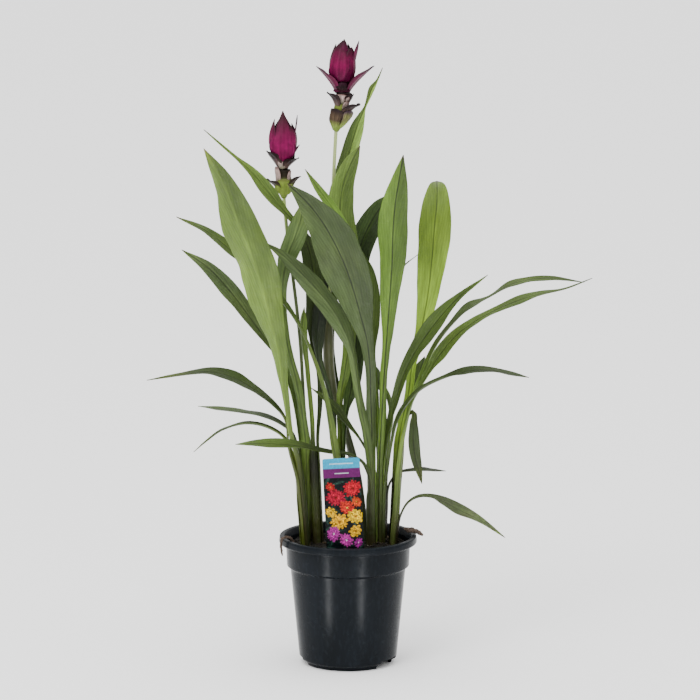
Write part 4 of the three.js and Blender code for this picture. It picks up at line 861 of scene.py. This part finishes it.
def facing(along, turn):
    """The direction that the upper face looks, square to the leaf's run: front cos + side sin,
    where front is the front view's direction made square to the run and side = along x front."""
    front = unit(np.array([0, -1, 0]) + along * along[..., 1:2])
    side = np.cross(along, front)
    turn = np.radians(turn)[..., None]
    return front * np.cos(turn) + side * np.sin(turn)


def curl_of(width, past_widest):
    """Half the angle of the cross-section's arc: a narrow stalk is a channel, a blade a shallow one."""
    share = np.clip((width - STALK_WIDTH) / (BLADE_WIDTH - STALK_WIDTH), 0, 1)
    curl = CHANNEL_CURL + (BLADE_CURL - CHANNEL_CURL) * share
    return np.radians(np.where(past_widest, BLADE_CURL, curl))


def sheet(path, along, face, half, curl, thick, rise, shares):
    """A thin sheet with a curved cross-section carried along a path. A point with share s stands at
    angle a = s * curl on an arc of radius half / curl: path + face * radius * (1 - cos a)
    + across * radius * sin a, moved by rise along the sheet's normal, and half the thickness to
    either side. Each ring runs over the upper face and back under it."""
    across = np.cross(along, face)[:, None]
    face = face[:, None]
    angle = (shares * curl[:, None])[..., None]
    radius = (half / curl)[:, None, None]
    normal = face * np.cos(angle) - across * np.sin(angle)
    middle = path[:, None] + face * radius * (1 - np.cos(angle)) + across * radius * np.sin(angle)
    middle = middle + normal * rise[..., None]
    upper = middle + normal * thick[..., None] / 2
    lower = middle - normal * thick[..., None] / 2
    return np.concatenate([upper, lower[:, ::-1]], axis=1)


def both_faces(upper, lower=None):
    """Values of the upper face's points followed by those of the lower one, which run back."""
    return np.concatenate([upper, (upper if lower is None else lower)[:, ::-1]], axis=1)


def flat_map(half, shares, way):
    """A sheet's UV map, in metres: the distance from its middle line and the way along it."""
    across = shares * half[:, None] * MM
    return both_faces(np.stack([across, np.broadcast_to(way[:, None], across.shape)], axis=-1))


def grow_leaf(shoot, layer, wrap, leave, turn, lean, rows):
    """A leaf's rings from its sheath to its tip. The tip's lean adds to y by the square of the share
    of the way, and takes from z by the view's slope, so that it looks the same from the front. Also
    gives its UV map, and at each ring the share of the way and how much of a blade it has become."""
    rows = np.asarray(rows, float)
    axis = unit(on_axis(shoot, HEAD_HEIGHT) - on_axis(shoot, FOOT_HEIGHT))
    radius = SHEATH_RADIUS + SHEATH_STEP * layer + SHEATH_SWELL.get(shoot, 0)
    inward = facing(axis, np.array(turn))
    sheath = np.array([on_axis(shoot, height) - radius * inward for height in (PLANTING_HEIGHT, leave)])
    row_ways = ways_between(rows[:, :3])
    back = lean * (row_ways / row_ways[-1]) ** 2
    leaned = rows[:, :3] + back[:, None] * np.array([0, 1, -VIEW_SLOPE])
    points = np.vstack([sheath, leaned])
    runs = np.vstack([axis[None], directions(points[1:], axis)])
    ways = ways_between(points)
    at = np.linspace(0, ways[-1], int(ways[-1] / LEAF_STEP) + 1)
    path = cubic(ways, points, runs, at)
    along = unit(np.gradient(path, at, axis=0))
    face = facing(along, smoothly(ways, [turn, turn, *rows[:, 4]], at))
    width = np.append(rows[:-1, 3], 0.5)
    row_curl = curl_of(width, np.arange(len(rows)) > np.argmax(width))
    row_half = width / 2 * row_curl / np.sin(row_curl)
    wrapped = np.radians(wrap)
    curl = smoothly(ways, [wrapped, wrapped, *row_curl], at)
    half = smoothly(ways, [radius * wrapped, radius * wrapped, *row_half], at)
    opened = np.clip((width - STALK_MOST) / (BLADE_LEAST - STALK_MOST), 0, 1)
    blade = smoothly(ways, [0, 0, *opened], at)[:, None]
    shares = LEAF_SHARES
    row_way = (at - ways[2])[:, None]
    wave = WAVE_HEIGHT * np.sin(2 * np.pi * row_way / WAVE_LENGTH) * abs(shares) * shares
    shift = len(rows) + rows[0, 0]
    ruffle = RUFFLE_HEIGHT * np.sin(2 * np.pi * row_way / RUFFLE_LENGTH + shift + shares) * shares ** 2
    groove = RIB_DEPTH * half[:, None] * np.exp(-(shares / RIB_WIDTH) ** 2)
    calm = np.clip((at[-1] - at) / CALM_LENGTH, 0, 1)[:, None]
    rise = np.where(row_way > 0, 2 * half[:, None] * (wave + ruffle) * calm, 0) - groove * blade * calm
    thick = BLADE_THICKNESS + (EDGE_THICKNESS - BLADE_THICKNESS) * abs(shares) * np.ones_like(row_way)
    rings = sheet(path, along, face, half, curl, thick, rise, shares)
    return rings, flat_map(half, shares, at * MM), at / at[-1], blade


def leaf_tints(way, blade, upper, lower, stalk, painted_side_light, bright):
    """A leaf's colour on both faces: the stalk's green gives way to the blade's, and over the whole lie
    painted light and shade, brighter or darker by the share of the way, the edge and the side of the
    midrib, and darker on the stalk's upper face inside its channel."""
    shares = LEAF_SHARES
    # Painted light and shade: brighter or darker along the leaf, at its edges and on one side of the midrib
    tone = smoothly(TONE_PLACES, [bright[0], *bright, bright[-1]], way)[:, None]
    tone = tone * (MIDRIB_SHADE + EDGE_LIGHT * abs(shares) ** 1.5)
    tone = (tone * (1 + painted_side_light * np.tanh(SIDE_SHARPNESS * shares)))[..., None]
    stalk_tints = paint(GREENS[stalk]) * np.ones((len(way), len(shares), 1))
    cover = np.clip(blade * COLOUR_LEAD, 0, 1)[..., None]
    dried = np.clip((way - DRY_START) / DRY_RUN, 0, DRY_STRENGTH)[:, None, None]
    # The stalk's upper face, inside its channel, is darker with painted shade
    upper_tints = laid_over(stalk_tints * STALK_CHANNEL_SHADE, paint(GREENS[upper]), cover) * tone
    lower_tints = laid_over(stalk_tints, paint(GREENS[lower]), cover) * tone
    return both_faces(*[laid_over(tints, paint(DRY_COLOUR), dried) for tints in (upper_tints, lower_tints)])


def leaf_finish(name, vein_low, gloss):
    """A living leaf: its painted green with slow patches and flecks, veins that slant out to the tip,
    a midrib line that is paler on some leaves and on others darker with the painted shade of its
    groove, a pale line beside it, dark brown low down at the soil, partly real stain and partly
    painted shade, and a waxy satin skin."""
    finish, shader = new_finish(name, gloss, 0.2)
    place = add_node(finish, "TexCoord").outputs["Object"]
    surface = add_node(finish, "UVMap", uv_map="surface").outputs[0]
    across, way, _ = add_node(finish, "SeparateXYZ", {0: surface}).outputs
    tint = add_node(finish, "Attribute", attribute_name="tint").outputs["Color"]
    rib = add_node(finish, "Attribute", attribute_name="rib").outputs["Fac"]
    aside = maths(finish, "ABSOLUTE", across)
    slant = maths(finish, "MULTIPLY_ADD", way, -VEIN_SLANT, aside)
    veined = maths(finish, "ADD", slant, blotches(finish, place, 9, -VEIN_STRAY, VEIN_STRAY, detail=2))
    both = maths(finish, "ADD", stripes(finish, veined, 0.75, 0, 1), stripes(finish, veined, 2.6, 0, 1))
    veins = ranged(finish, both, 0.0, 2.0, vein_low, 1.1)
    patches = blotches(finish, surface, 16, 0.72, 1.28, detail=5, stretch=(1, 0.22, 1))
    flecks = blotches(finish, surface, 2.6, 0.82, 1.18, detail=6, stretch=(1, 0.12, 1))
    green = tint
    for brightness in (veins, patches, flecks):
        green = shaded(finish, green, brightness)
    yellow = mixed(finish, 1.0, green, (1.25, 1.12, 0.75, 1), "MULTIPLY")
    green = mixed(finish, blotches(finish, place, 40, -0.25, 0.3, detail=2), green, yellow)
    # The midrib line: paler on some leaves, and on others darker, the painted shade of its groove
    near_rib = ranged(finish, aside, *RIB_LINE, 1.0, 0.0, interpolation_type="SMOOTHSTEP")
    ribbed = shaded(finish, green, ranged(finish, rib, 0.0, 1.0, 0.1, 1.9))
    beside = ranged(finish, aside, *PALE_LINE, 0.55, 0.0, interpolation_type="SMOOTHSTEP")
    paler = mixed(finish, 1.0, green, (1.35, 1.3, 1.2, 1), "MULTIPLY")
    green = mixed(finish, near_rib, mixed(finish, beside, green, paler), ribbed)
    height = add_node(finish, "SeparateXYZ", {0: place}).outputs[2]
    streaks = blotches(finish, place, 6, 0.5, 1.15, stretch=(1, 1, 0.12))
    # Near the soil the green gives way to dark brown: partly real stain, partly painted shade
    stained_and_shaded = maths(finish, "MULTIPLY", ranged(finish, height, *SOIL_STAIN_AND_SHADE, 1.0, 0.0), streaks)
    reddish = blotches(finish, place, 22, -0.2, 0.9, detail=3)
    stain_and_shade = mixed(finish, reddish, opaque("#1c1a0b"), opaque("#2c1a10"))
    link(finish, mixed(finish, stained_and_shaded, green, stain_and_shade), shader, "Base Color")
    link(finish, blotches(finish, place, 12, gloss - 0.07, gloss + 0.07), shader, "Roughness")
    puckered = blotches(finish, place, 6, 0, 1, detail=2)
    raised(finish, shader, (both, 0.1), (puckered, 0.35))
    return finish


leaf_finishes = {
    "light": leaf_finish("leaf_skin_light", 0.8, 0.44),
    "grey": leaf_finish("leaf_skin_grey", 0.76, 0.5),
    "mid": leaf_finish("leaf_skin_mid", 0.76, 0.44),
    "dark": leaf_finish("leaf_skin_dark", 0.72, 0.44)}
for leaf, (stance, (kind, upper, lower, stalk, rib, painted_side_light, bright), rows) in LEAVES.items():
    leaf_rings, leaf_map, leaf_way, leaf_blade = grow_leaf(*stance, rows)
    leaf_tint = leaf_tints(leaf_way, leaf_blade, upper, lower, stalk, painted_side_light, bright)
    put_piece(f"blade_{leaf}", leaf_rings, flat_ring_faces(*leaf_rings.shape[:2]), leaf_finishes[kind],
              f"leaf_{leaf}", maps={"surface": leaf_map},
              colours={"tint": leaf_tint, "rib": np.full(leaf_tint.shape, 0.5 + rib / 2)})


# The flower spikes: stiff round green stalks. The left one comes up through its shoot. The right
# one comes out of a dark, swollen shoot.
SCAPE_RADIUS = 1.75
STALK_SIDES = 28
# Rows [x, y, z, radius]
LEFT_SCAPE = (
    (-41.1, 15, 106, CORE_RADIUS), (-42, 15, 190, CORE_RADIUS), (-43, 15, 220, 2),
    (-46, 15, 289, SCAPE_RADIUS), (-48.5, 16, 330, SCAPE_RADIUS), (-54, 17, 381, SCAPE_RADIUS),
    (-60, 18, 427, SCAPE_RADIUS), (-63, 18, 457, SCAPE_RADIUS), (-64.5, 18, 476, SCAPE_RADIUS))
RIGHT_SCAPE = (
    (-20, 27, 322, SCAPE_RADIUS), (-19.5, 27, 350, SCAPE_RADIUS), (-18, 27, 399, SCAPE_RADIUS),
    (-15.5, 26, 471, SCAPE_RADIUS), (-13.5, 24, 515, SCAPE_RADIUS), (-12, 23, 543, SCAPE_RADIUS))
SWOLLEN_SHOOT = (
    (19.7, 21.7, 106, 3.8), (6.1, 24.7, 204, 3.8), (-3, 26.2, 236, 3.8),
    (-13, 27, 266, 4), (-18.5, 27, 292, 5.4), (-20, 27, 324, 5.4), (-19.6, 27, 346, 3.4),
    (-19.6, 27, 349, 1.9))

for stalk, rows, finish, node, slot in (
        ("left_stalk", LEFT_SCAPE, stem_finish("left_stalk_skin", "#b4cb76", 400, 470, "#2b3717"),
         "scape_left", "scape_green"),
        ("right_stalk", RIGHT_SCAPE, stem_finish("right_stalk_skin", "#98a66c", 340, 400, "#7c8a50"),
         "scape_right", "scape_green"),
        ("swollen_shoot", SWOLLEN_SHOOT, stem_finish("swollen_shoot_skin", "#55583a", 200, 300, "#282f17"),
         "shoot_g", "shoot_dark")):
    put_rod(stalk, rows, STALK_SIDES, 2.5, finish, node)


# The flower heads: each is a closed tulip of magenta bracts that overlap like petals, above a
# collar of purple brown flaps with a few pale ones, and a green cup with dark recurved tips. The
# bracts are thin and leathery, with fine lengthwise veins.
ERECT_CURL = 52
SPREAD_CURL = 34
PETAL_THICKNESS = 0.6
PETAL_EDGE = 0.3
PETAL_SHARES = np.sin(np.linspace(-np.pi / 2, np.pi / 2, 37))
PETAL_STATIONS = 34
CORE_SIDES = 36
# Where on the sine that outlines it a bract starts, the power of its way, and its least half width
OUTLINE_START = 0.14
OUTLINE_POWER = 1.15
LEAST_HALF_WIDTH = 0.35
PETAL_RUFFLE = 0.03
PETAL_FOLD = 0.012
# Waves that make a bract's streaks: how often across, and how they shift with its azimuth
STREAK_WAVES = ((11, 1), (23, 2), (37, 0))
# Shares of a bract's way or half width: where the root's colour ends, where the tip's is full and
# where the rim's starts
ROOT_END = 0.5
TIP_FULL = 0.92
RIM_START = 0.6
# How much darker a bract's cupped inner face is: painted shade
INNER_FACE_SHADE = 0.8
# The length that a bract's UV map gives it, in metres
BRACT_LENGTH = 0.05
# Colours of a bract: at its root, in its belly, at its tip, along its rim, the share of the way
# where its tip's colour starts, the strength of its lengthwise streaks, the power of its outline,
# low for a blunt tip, and how much narrower it is at its root
BRACT_COLOURS = {
    "petal": ("#560830", "#680a3d", "#2e151b", "#480830", 0.56, 0.38, 0.95, 0),
    "deep": ("#40062a", "#4a0a2c", "#260c16", "#2e091c", 0.45, 0.3, 0.8, 0),
    "rose": ("#48072b", "#590731", "#2a0f19", "#400726", 0.66, 0.42, 0.55, 0),
    "spread": ("#500a30", "#551a36", "#321a26", "#48162c", 0.66, 0.4, 0.7, 0),
    # The shade bract is a dark sheet that stands for the shade in the hollow between spread bracts: painted
    # shade
    "shade": ("#2c1016", "#190a0e", "#240c18", "#341024", 0.6, 0.4, 0.3, 0.1),
    "flap": ("#5e4c46", "#2b1b1c", "#1b1314", "#191113", 0.36, 0.5, 0.8, 0),
    "hook": ("#67782e", "#3c3322", "#1e1617", "#221818", 0.25, 0.4, 0.8, 0),
    "striped": ("#78903a", "#46382b", "#201718", "#2a1e1f", 0.66, 0.6, 0.15, 0.6),
    "blushed": ("#78903a", "#5c5c34", "#40303a", "#4c3c3a", 0.72, 0.75, 0.25, 0.6),
    "pale": ("#7d7a66", "#a08a84", "#6c5450", "#7c6460", 0.8, 0.35, 0.4, 0),
    "green": ("#758838", "#667430", "#332722", "#453a2b", 0.55, 0.25, 0.5, 0),
    "cup": ("#758838", "#6e8034", "#5a6030", "#5c6a2c", 0.8, 0.2, 0.4, 0)}
# Each head: its base, the lean of its axis in x for each mm of height, the radii and heights of its
# core, and rows [azimuth, start height and radius, middle height and radius, tip height and
# radius, width, colours], with azimuth 0 to the right and 270 to the front
HEADS = {
    "coma_left": ((-65.3, 18, 503.5), 0, ((5, 0), (8, 8), (11, 18), (11.8, 27), (8, 38), (2, 45)), (
        (125, 6, 6.5, 27, 14.2, 50, 6, 20, "deep"), (60, 6, 6.5, 28, 13.6, 53, 4, 20, "deep"),
        (15, 6, 6.5, 27, 14.2, 46, 9, 19, "deep"), (2, 24, 9.5, 42, 13.4, 54.6, 14.5, 7, "deep"),
        (200, 6, 6.5, 28, 14.2, 51, 8.6, 21, "petal"), (332, 6, 6.5, 27, 14, 45, 8.5, 22, "petal"),
        (268, 6, 7, 25, 14.2, 59, 1.5, 30, "petal"), (350, 10, 8, 19, 13.5, 25, 17, 9, "deep"),
        (212, 1, 5, 12, 12, 19.6, 19.5, 21, "flap"), (322, 1, 5, 8, 11.5, 12.5, 20.4, 20, "flap"),
        (262, 1, 6, 7, 9.8, 14, 12, 8, "pale"), (50, 1, 4, 10, 11, 17, 16, 17, "flap"),
        (120, 1, 4, 10, 11, 17, 16, 17, "flap"))),
    "bracts_left": ((-64.5, 18, 474), 0, (
        (2.4, 0), (4.5, 4), (7.6, 8), (8.8, 13), (8, 19), (6.6, 24), (6.8, 29)), (
        (206, 8, 7, 15, 12, 19.7, 21, 19, "hook"), (338, 8, 7.5, 17, 12, 23.2, 18.8, 18, "hook"),
        (222, 12, 8, 23, 9, 33, 10.5, 9, "pale"), (270, 4, 5.5, 12, 9.8, 21, 10.5, 19, "cup"),
        (318, 16, 7.5, 22, 8, 29, 9, 6, "pale"), (90, 5, 6.5, 14, 10.5, 22, 15, 17, "green"))),
    "coma_right": ((-5.6, 23, 579), 0.02, (
        (5.5, 0), (8, 6), (9, 12), (11, 20), (11, 28), (8, 36), (2, 43)), (
        (168, 6, 6.5, 27, 13.6, 50, 7.5, 20, "deep"), (105, 6, 6.5, 26, 14, 53, 4, 19, "deep"),
        (40, 6, 6.5, 26, 13.2, 50, 6, 19, "deep"), (345, 22, 9, 38, 13.5, 54, 16.1, 12, "spread"),
        (280, 30, 10, 44, 9, 55.5, 3.5, 10, "deep"), (318, 13, 9.5, 28, 13, 47.8, 11, 22, "rose"),
        (282, 13, 9, 28, 12.8, 46, 6.5, 18, "rose"), (246, 13, 9.5, 29, 14.6, 53, 4, 28, "rose"),
        (194, 1, 7, 13, 13.6, 28.5, 27.6, 26, "spread"), (346, 1, 7, 13, 15.5, 29, 32.3, 26, "spread"),
        # A dark bract of painted shade in the hollow between the spread bracts
        (268, 2, 9, 7, 12.8, 13, 12.6, 15, "shade"),
        (270, 0, 5, 2, 9, 4.5, 11.8, 20, "deep"), (90, 1, 4, 13, 14, 25, 26, 18, "spread"))),
    "bracts_right": ((-12, 23, 541), 0.21, (
        (2.4, 0), (5.5, 8), (7.2, 16), (7, 24), (6.6, 31), (6.6, 36.2)), (
        (205, 25, 6, 34, 11.5, 40, 19.7, 21, "flap"), (330, 26, 6, 34.6, 8.8, 37, 10.6, 17, "flap"),
        (265, 29, 6.8, 34, 8.8, 38.6, 10.2, 15, "pale"), (272, 33, 7, 37.4, 9, 40.2, 12, 18, "flap"),
        (325, 16, 6.5, 23.8, 14, 27.8, 22, 24, "flap"),
        (300, 22, 7.5, 27, 9.5, 31, 11, 8, "pale"), (244, 1, 3, 12, 9.5, 24, 10, 20, "striped"),
        (320, 2, 3, 12, 11.5, 22, 13, 20, "blushed"), (75, 6, 4, 19, 9.5, 27, 15, 17, "green")))}


def bract(base, lean, azimuth, start_height, start_radius, middle_height, middle_radius,
          tip_height, tip_radius, width, colours):
    """One bract: a quadratic curve from its root through its middle to its tip, in the upright plane
    of its azimuth, with its cupped face to the axis. Half its width is
    width / 2 * sin(pi (0.14 + 0.86 t)^1.15)^power * (1 - narrow (1 - t)) at the share t of the way.
    Its rim is ruffled. Its root's colour gives way to its belly's, then comes its rim's and over
    both its tip's, and its cupped face to the axis is darker with painted shade. Also gives its
    colours and its UV map."""
    outward = np.array([np.cos(np.radians(azimuth)), np.sin(np.radians(azimuth)), 0])

    def at(height, radius):
        return np.array(base) + (lean * height, 0, height) + outward * radius

    start, tip = at(start_height, start_radius), at(tip_height, tip_radius)
    control = 2 * at(middle_height, middle_radius) - (start + tip) / 2
    t = np.linspace(0, 1, PETAL_STATIONS)
    path = np.outer((1 - t) ** 2, start) + np.outer(2 * t * (1 - t), control) + np.outer(t ** 2, tip)
    along = unit(np.outer(1 - t, control - start) + np.outer(t, tip - control))
    face = unit(np.cross(along, np.cross([0, 0, 1], outward)))
    *codes, tip_from, streaked, power, narrow = BRACT_COLOURS[colours]
    outline = np.sin(np.pi * (OUTLINE_START + (1 - OUTLINE_START) * t) ** OUTLINE_POWER)
    outline = outline.clip(0, 1) ** power * (1 - narrow * (1 - t))
    half = np.maximum(width / 2 * outline, LEAST_HALF_WIDTH)
    curl = np.full(len(t), np.radians(SPREAD_CURL if tip_radius > middle_radius else ERECT_CURL))
    shares = PETAL_SHARES
    ruffle = np.minimum(width, 3 * half[:, None]) * np.sin(9 * t[:, None] + 2 * shares + azimuth)
    ruffle = PETAL_RUFFLE * ruffle * abs(shares) ** 3
    fold = -PETAL_FOLD * width * np.cos(3 * np.pi * shares) * np.sin(np.pi * t[:, None])
    thick = PETAL_THICKNESS + (PETAL_EDGE - PETAL_THICKNESS) * abs(shares) * np.ones((len(t), 1))
    rings = sheet(path, along, face, half, curl, thick, ruffle + fold, shares)
    root, belly, end, rim = [paint(code) for code in codes]
    aside = abs(shares)[None, :, None]
    streak = sum(np.sin(often * shares + shift * azimuth) for often, shift in STREAK_WAVES) / 3
    streak = streak[None, :, None]
    up = t[:, None, None] + 0.06 * streak
    rooted = np.clip(1 - up / ROOT_END, 0, 1) ** 0.8
    tipped = np.clip((up - tip_from) / (TIP_FULL - tip_from), 0, 1) ** 1.2
    rimmed = np.clip((aside - RIM_START) / (1 - RIM_START), 0, 1) ** 2 * np.clip(up / 0.4, 0, 1)
    colour = laid_over(laid_over(laid_over(belly, root, rooted), rim, rimmed), end, tipped)
    colour = colour * (1 + streaked * streak)
    return rings, both_faces(colour * INNER_FACE_SHADE, colour), flat_map(half, shares, t * BRACT_LENGTH)


def head_finish(name, gloss):
    """The skin of a flower head: painted colours with fine lengthwise veins and soft patches."""
    finish, shader = new_finish(name, gloss, 0.07)
    place = add_node(finish, "TexCoord").outputs["Object"]
    surface = add_node(finish, "UVMap", uv_map="surface").outputs[0]
    across = add_node(finish, "SeparateXYZ", {0: surface}).outputs[0]
    tint = add_node(finish, "Attribute", attribute_name="tint").outputs["Color"]
    veined = maths(finish, "ADD", across, blotches(finish, place, 5, -VEIN_STRAY, VEIN_STRAY, detail=2))
    veins = stripes(finish, veined, 0.8, 0.84, 1.12)
    patches = blotches(finish, place, 6, 0.75, 1.25, detail=4)
    link(finish, shaded(finish, shaded(finish, tint, veins), patches), shader, "Base Color")
    raised(finish, shader, (veins, 0.06), (patches, 0.1))
    return finish


head_finishes = {"coma_magenta": head_finish("magenta_bract_skin", 0.42),
                 "bract_green": head_finish("green_bract_skin", 0.45)}
# Heights over the head's base and the core's colour there; low in the comas' cores the dark
# colours are painted shade of the hollow under their bracts
CORE_TINTS = {
    "coma_left": ((0, "#221a14"), (10, "#2a0c1c"), (36, "#430c2c")),
    "coma_right": ((0, "#1c1010"), (14, "#240c16"), (36, "#430c2c")),
    "bracts_left": ((0, "#6a7c32"), (17, "#62702e"), (22, "#2a2418"), (29, "#1e1812")),
    "bracts_right": ((0, "#6a7c32"), (26, "#66742e"), (31, "#544840"), (36, "#382c2a"))}
for head, (base, head_lean, core, petals) in HEADS.items():
    core_rows = [(base[0] + head_lean * height, base[1], base[2] + height, radius)
                 for radius, height in core]
    core_rings, core_map = tube(core_rows, CORE_SIDES, 1.5)
    head_points = core_rings.reshape(-1, 3)
    head_faces = ring_faces(len(core_rings), CORE_SIDES)
    head_map = core_map.reshape(-1, 2)
    core_heights, core_codes = zip(*CORE_TINTS[head])
    core_paints = np.array([paint(code) for code in core_codes])
    head_tints = np.stack([np.interp(head_points[:, 2] - base[2], core_heights, core_paints[:, part])
                           for part in range(3)], axis=-1)
    for petal in petals:
        rings, tints, petal_map = bract(base, head_lean, *petal)
        head_faces += [group + len(head_points) for group in flat_ring_faces(*rings.shape[:2])]
        head_points = np.vstack([head_points, rings.reshape(-1, 3)])
        head_tints = np.vstack([head_tints, tints.reshape(-1, 3)])
        head_map = np.vstack([head_map, petal_map.reshape(-1, 2)])
    slot = "coma_magenta" if head.startswith("coma") else "bract_green"
    put_piece(f"{head}_skin", head_points, head_faces, head_finishes[slot], head,
              maps={"surface": head_map}, colours={"tint": head_tints})


# Bits over the rim: a splinter of bark on the right and a dry root on the left, both brown and
# fibrous, left lying there when the pot was filled. Rows are [x, y, z, radius].
RIGHT_BARK = ((57, 5, 137, 1.6), (63, 3, 135.8, 2.4), (70, 1, 134.8, 2.2), (76, -1, 131, 0.8))
LEFT_ROOT = ((-54, -24, 126.5, 1), (-59, -26.5, 134.5, 1.2), (-66, -29.6, 134, 1.3),
             (-67.5, -30, 126, 1.2), (-66.2, -29, 116.5, 0.7))
BIT_SIDES = 18


def fibre_finish(name, pale, dark):
    """Dry plant fibre: two browns in fine mottled patches, rough and quite matt."""
    finish, shader = new_finish(name, 0.85)
    place = add_node(finish, "TexCoord").outputs["Object"]
    streaks = blotches(finish, place, 1.4, 0, 1, detail=6)
    link(finish, mixed(finish, streaks, opaque(dark), opaque(pale)), shader, "Base Color")
    raised(finish, shader, (streaks, 0.5))
    return finish


for bit, rows, finish, node, slot in (
        ("bark_splinter", RIGHT_BARK, fibre_finish("bark_fibre", "#5a483a", "#20160f"), "bark_bit", "bark"),
        ("dry_root", LEFT_ROOT, fibre_finish("root_fibre", "#4a3829", "#241810"), "root_bit", "root")):
    rings, _ = tube(rows, BIT_SIDES, 0.7, dents=0.5, seed=5)
    put_piece(bit, rings, ring_faces(len(rings), BIT_SIDES), finish, node)


# The stage: a plain white floor, a soft even sky, a large soft light above, two tall strip lights
# at the sides of the camera, and two strips that lie on the floor in front of the pot, out of the
# picture, and show only as the two soft lines down its gloss.
FLOOR_SIZE = 60
FLOOR_COLOUR = (0.94, 0.94, 0.94, 1)
SKY_LOW = 0.3
SKY_HIGH = 2.7
CAMERA_PLACE = (0.002, -5.0, 1.240)
CAMERA_AIM = (0.002, 0.0, 0.322)
CAMERA_LENS = 259.6
SENSOR_WIDTH = 36

floor_mesh = bpy.data.meshes.new("floor")
edge = FLOOR_SIZE / 2
floor_corners = [(-edge, -edge, 0), (edge, -edge, 0), (edge, edge, 0), (-edge, edge, 0)]
floor_mesh.from_pydata(floor_corners, [], [(0, 1, 2, 3)])
floor_finish, floor_shader = new_finish("floor_paper", 0.9)
floor_shader.inputs["Base Color"].default_value = FLOOR_COLOUR
floor_mesh.materials.append(floor_finish)
placed("floor", floor_mesh)

world = bpy.data.worlds.new("soft_sky")
bpy.context.scene.world = world
world.use_nodes = True
sky_way = add_node(world, "TexCoord").outputs["Generated"]
sky_height = add_node(world, "SeparateXYZ", {0: sky_way}).outputs[2]
sky = world.node_tree.nodes["Background"]
sky.inputs["Color"].default_value = (1, 1, 1, 1)
link(world, ranged(world, sky_height, 0.0, 0.9, SKY_LOW, SKY_HIGH), sky, "Strength")


def aimed(thing, place, aim):
    """Turns a light or a camera at a place so that it looks at the aim, with its top up."""
    way = unit(np.array(aim, float) - np.array(place, float))
    pitch = np.arccos(-way[2])
    heading = np.arctan2(-way[0], way[1])
    thing.location = place
    thing.rotation_euler = (pitch, 0, heading)


def area_light(name, wide, high, watts):
    """A flat light of a width and a height in metres."""
    light = bpy.data.lights.new(name, "AREA")
    light.shape = "RECTANGLE"
    light.size = wide
    light.size_y = high
    light.energy = watts
    return placed(name, light)


# Lights: place in metres, the aim, width, height, watts
LIGHTS = {
    "overhead_softbox": ((-1.3, -2.2, 2.9), (0, 0, 0.25), 1.8, 1.6, 75),
    "left_strip": ((-1.75, -2.35, 0.75), (0, 0, 0.2), 0.24, 1.6, 10),
    "right_strip": ((1.25, -2.7, 0.75), (0, 0, 0.2), 0.24, 1.6, 8)}
for name, (place, aim, wide, high, watts) in LIGHTS.items():
    aimed(area_light(name, wide, high, watts), place, aim)

# Floor strips: heading from the front in degrees, watts
FLOOR_STRIPS = {"floor_strip_left": (-36.7, 2.0), "floor_strip_right": (24.6, 1.8)}
STRIP_NEAR = 0.17
STRIP_FAR = 0.8
STRIP_WIDTH = 0.03
STRIP_HEIGHT = 0.002
for name, (heading, watts) in FLOOR_STRIPS.items():
    strip = area_light(name, STRIP_WIDTH, STRIP_FAR - STRIP_NEAR, watts)
    turn = np.radians(heading)
    reach = (STRIP_NEAR + STRIP_FAR) / 2
    strip.location = (reach * np.sin(turn), -reach * np.cos(turn), STRIP_HEIGHT)
    strip.rotation_euler = (np.pi, 0, turn)
    strip.visible_camera = False
    strip.visible_diffuse = False

camera_data = bpy.data.cameras.new("camera")
camera_data.lens = CAMERA_LENS
camera_data.sensor_width = SENSOR_WIDTH
camera_data.clip_end = 100
camera = placed("camera", camera_data)
aimed(camera, CAMERA_PLACE, CAMERA_AIM)
bpy.context.scene.camera = camera
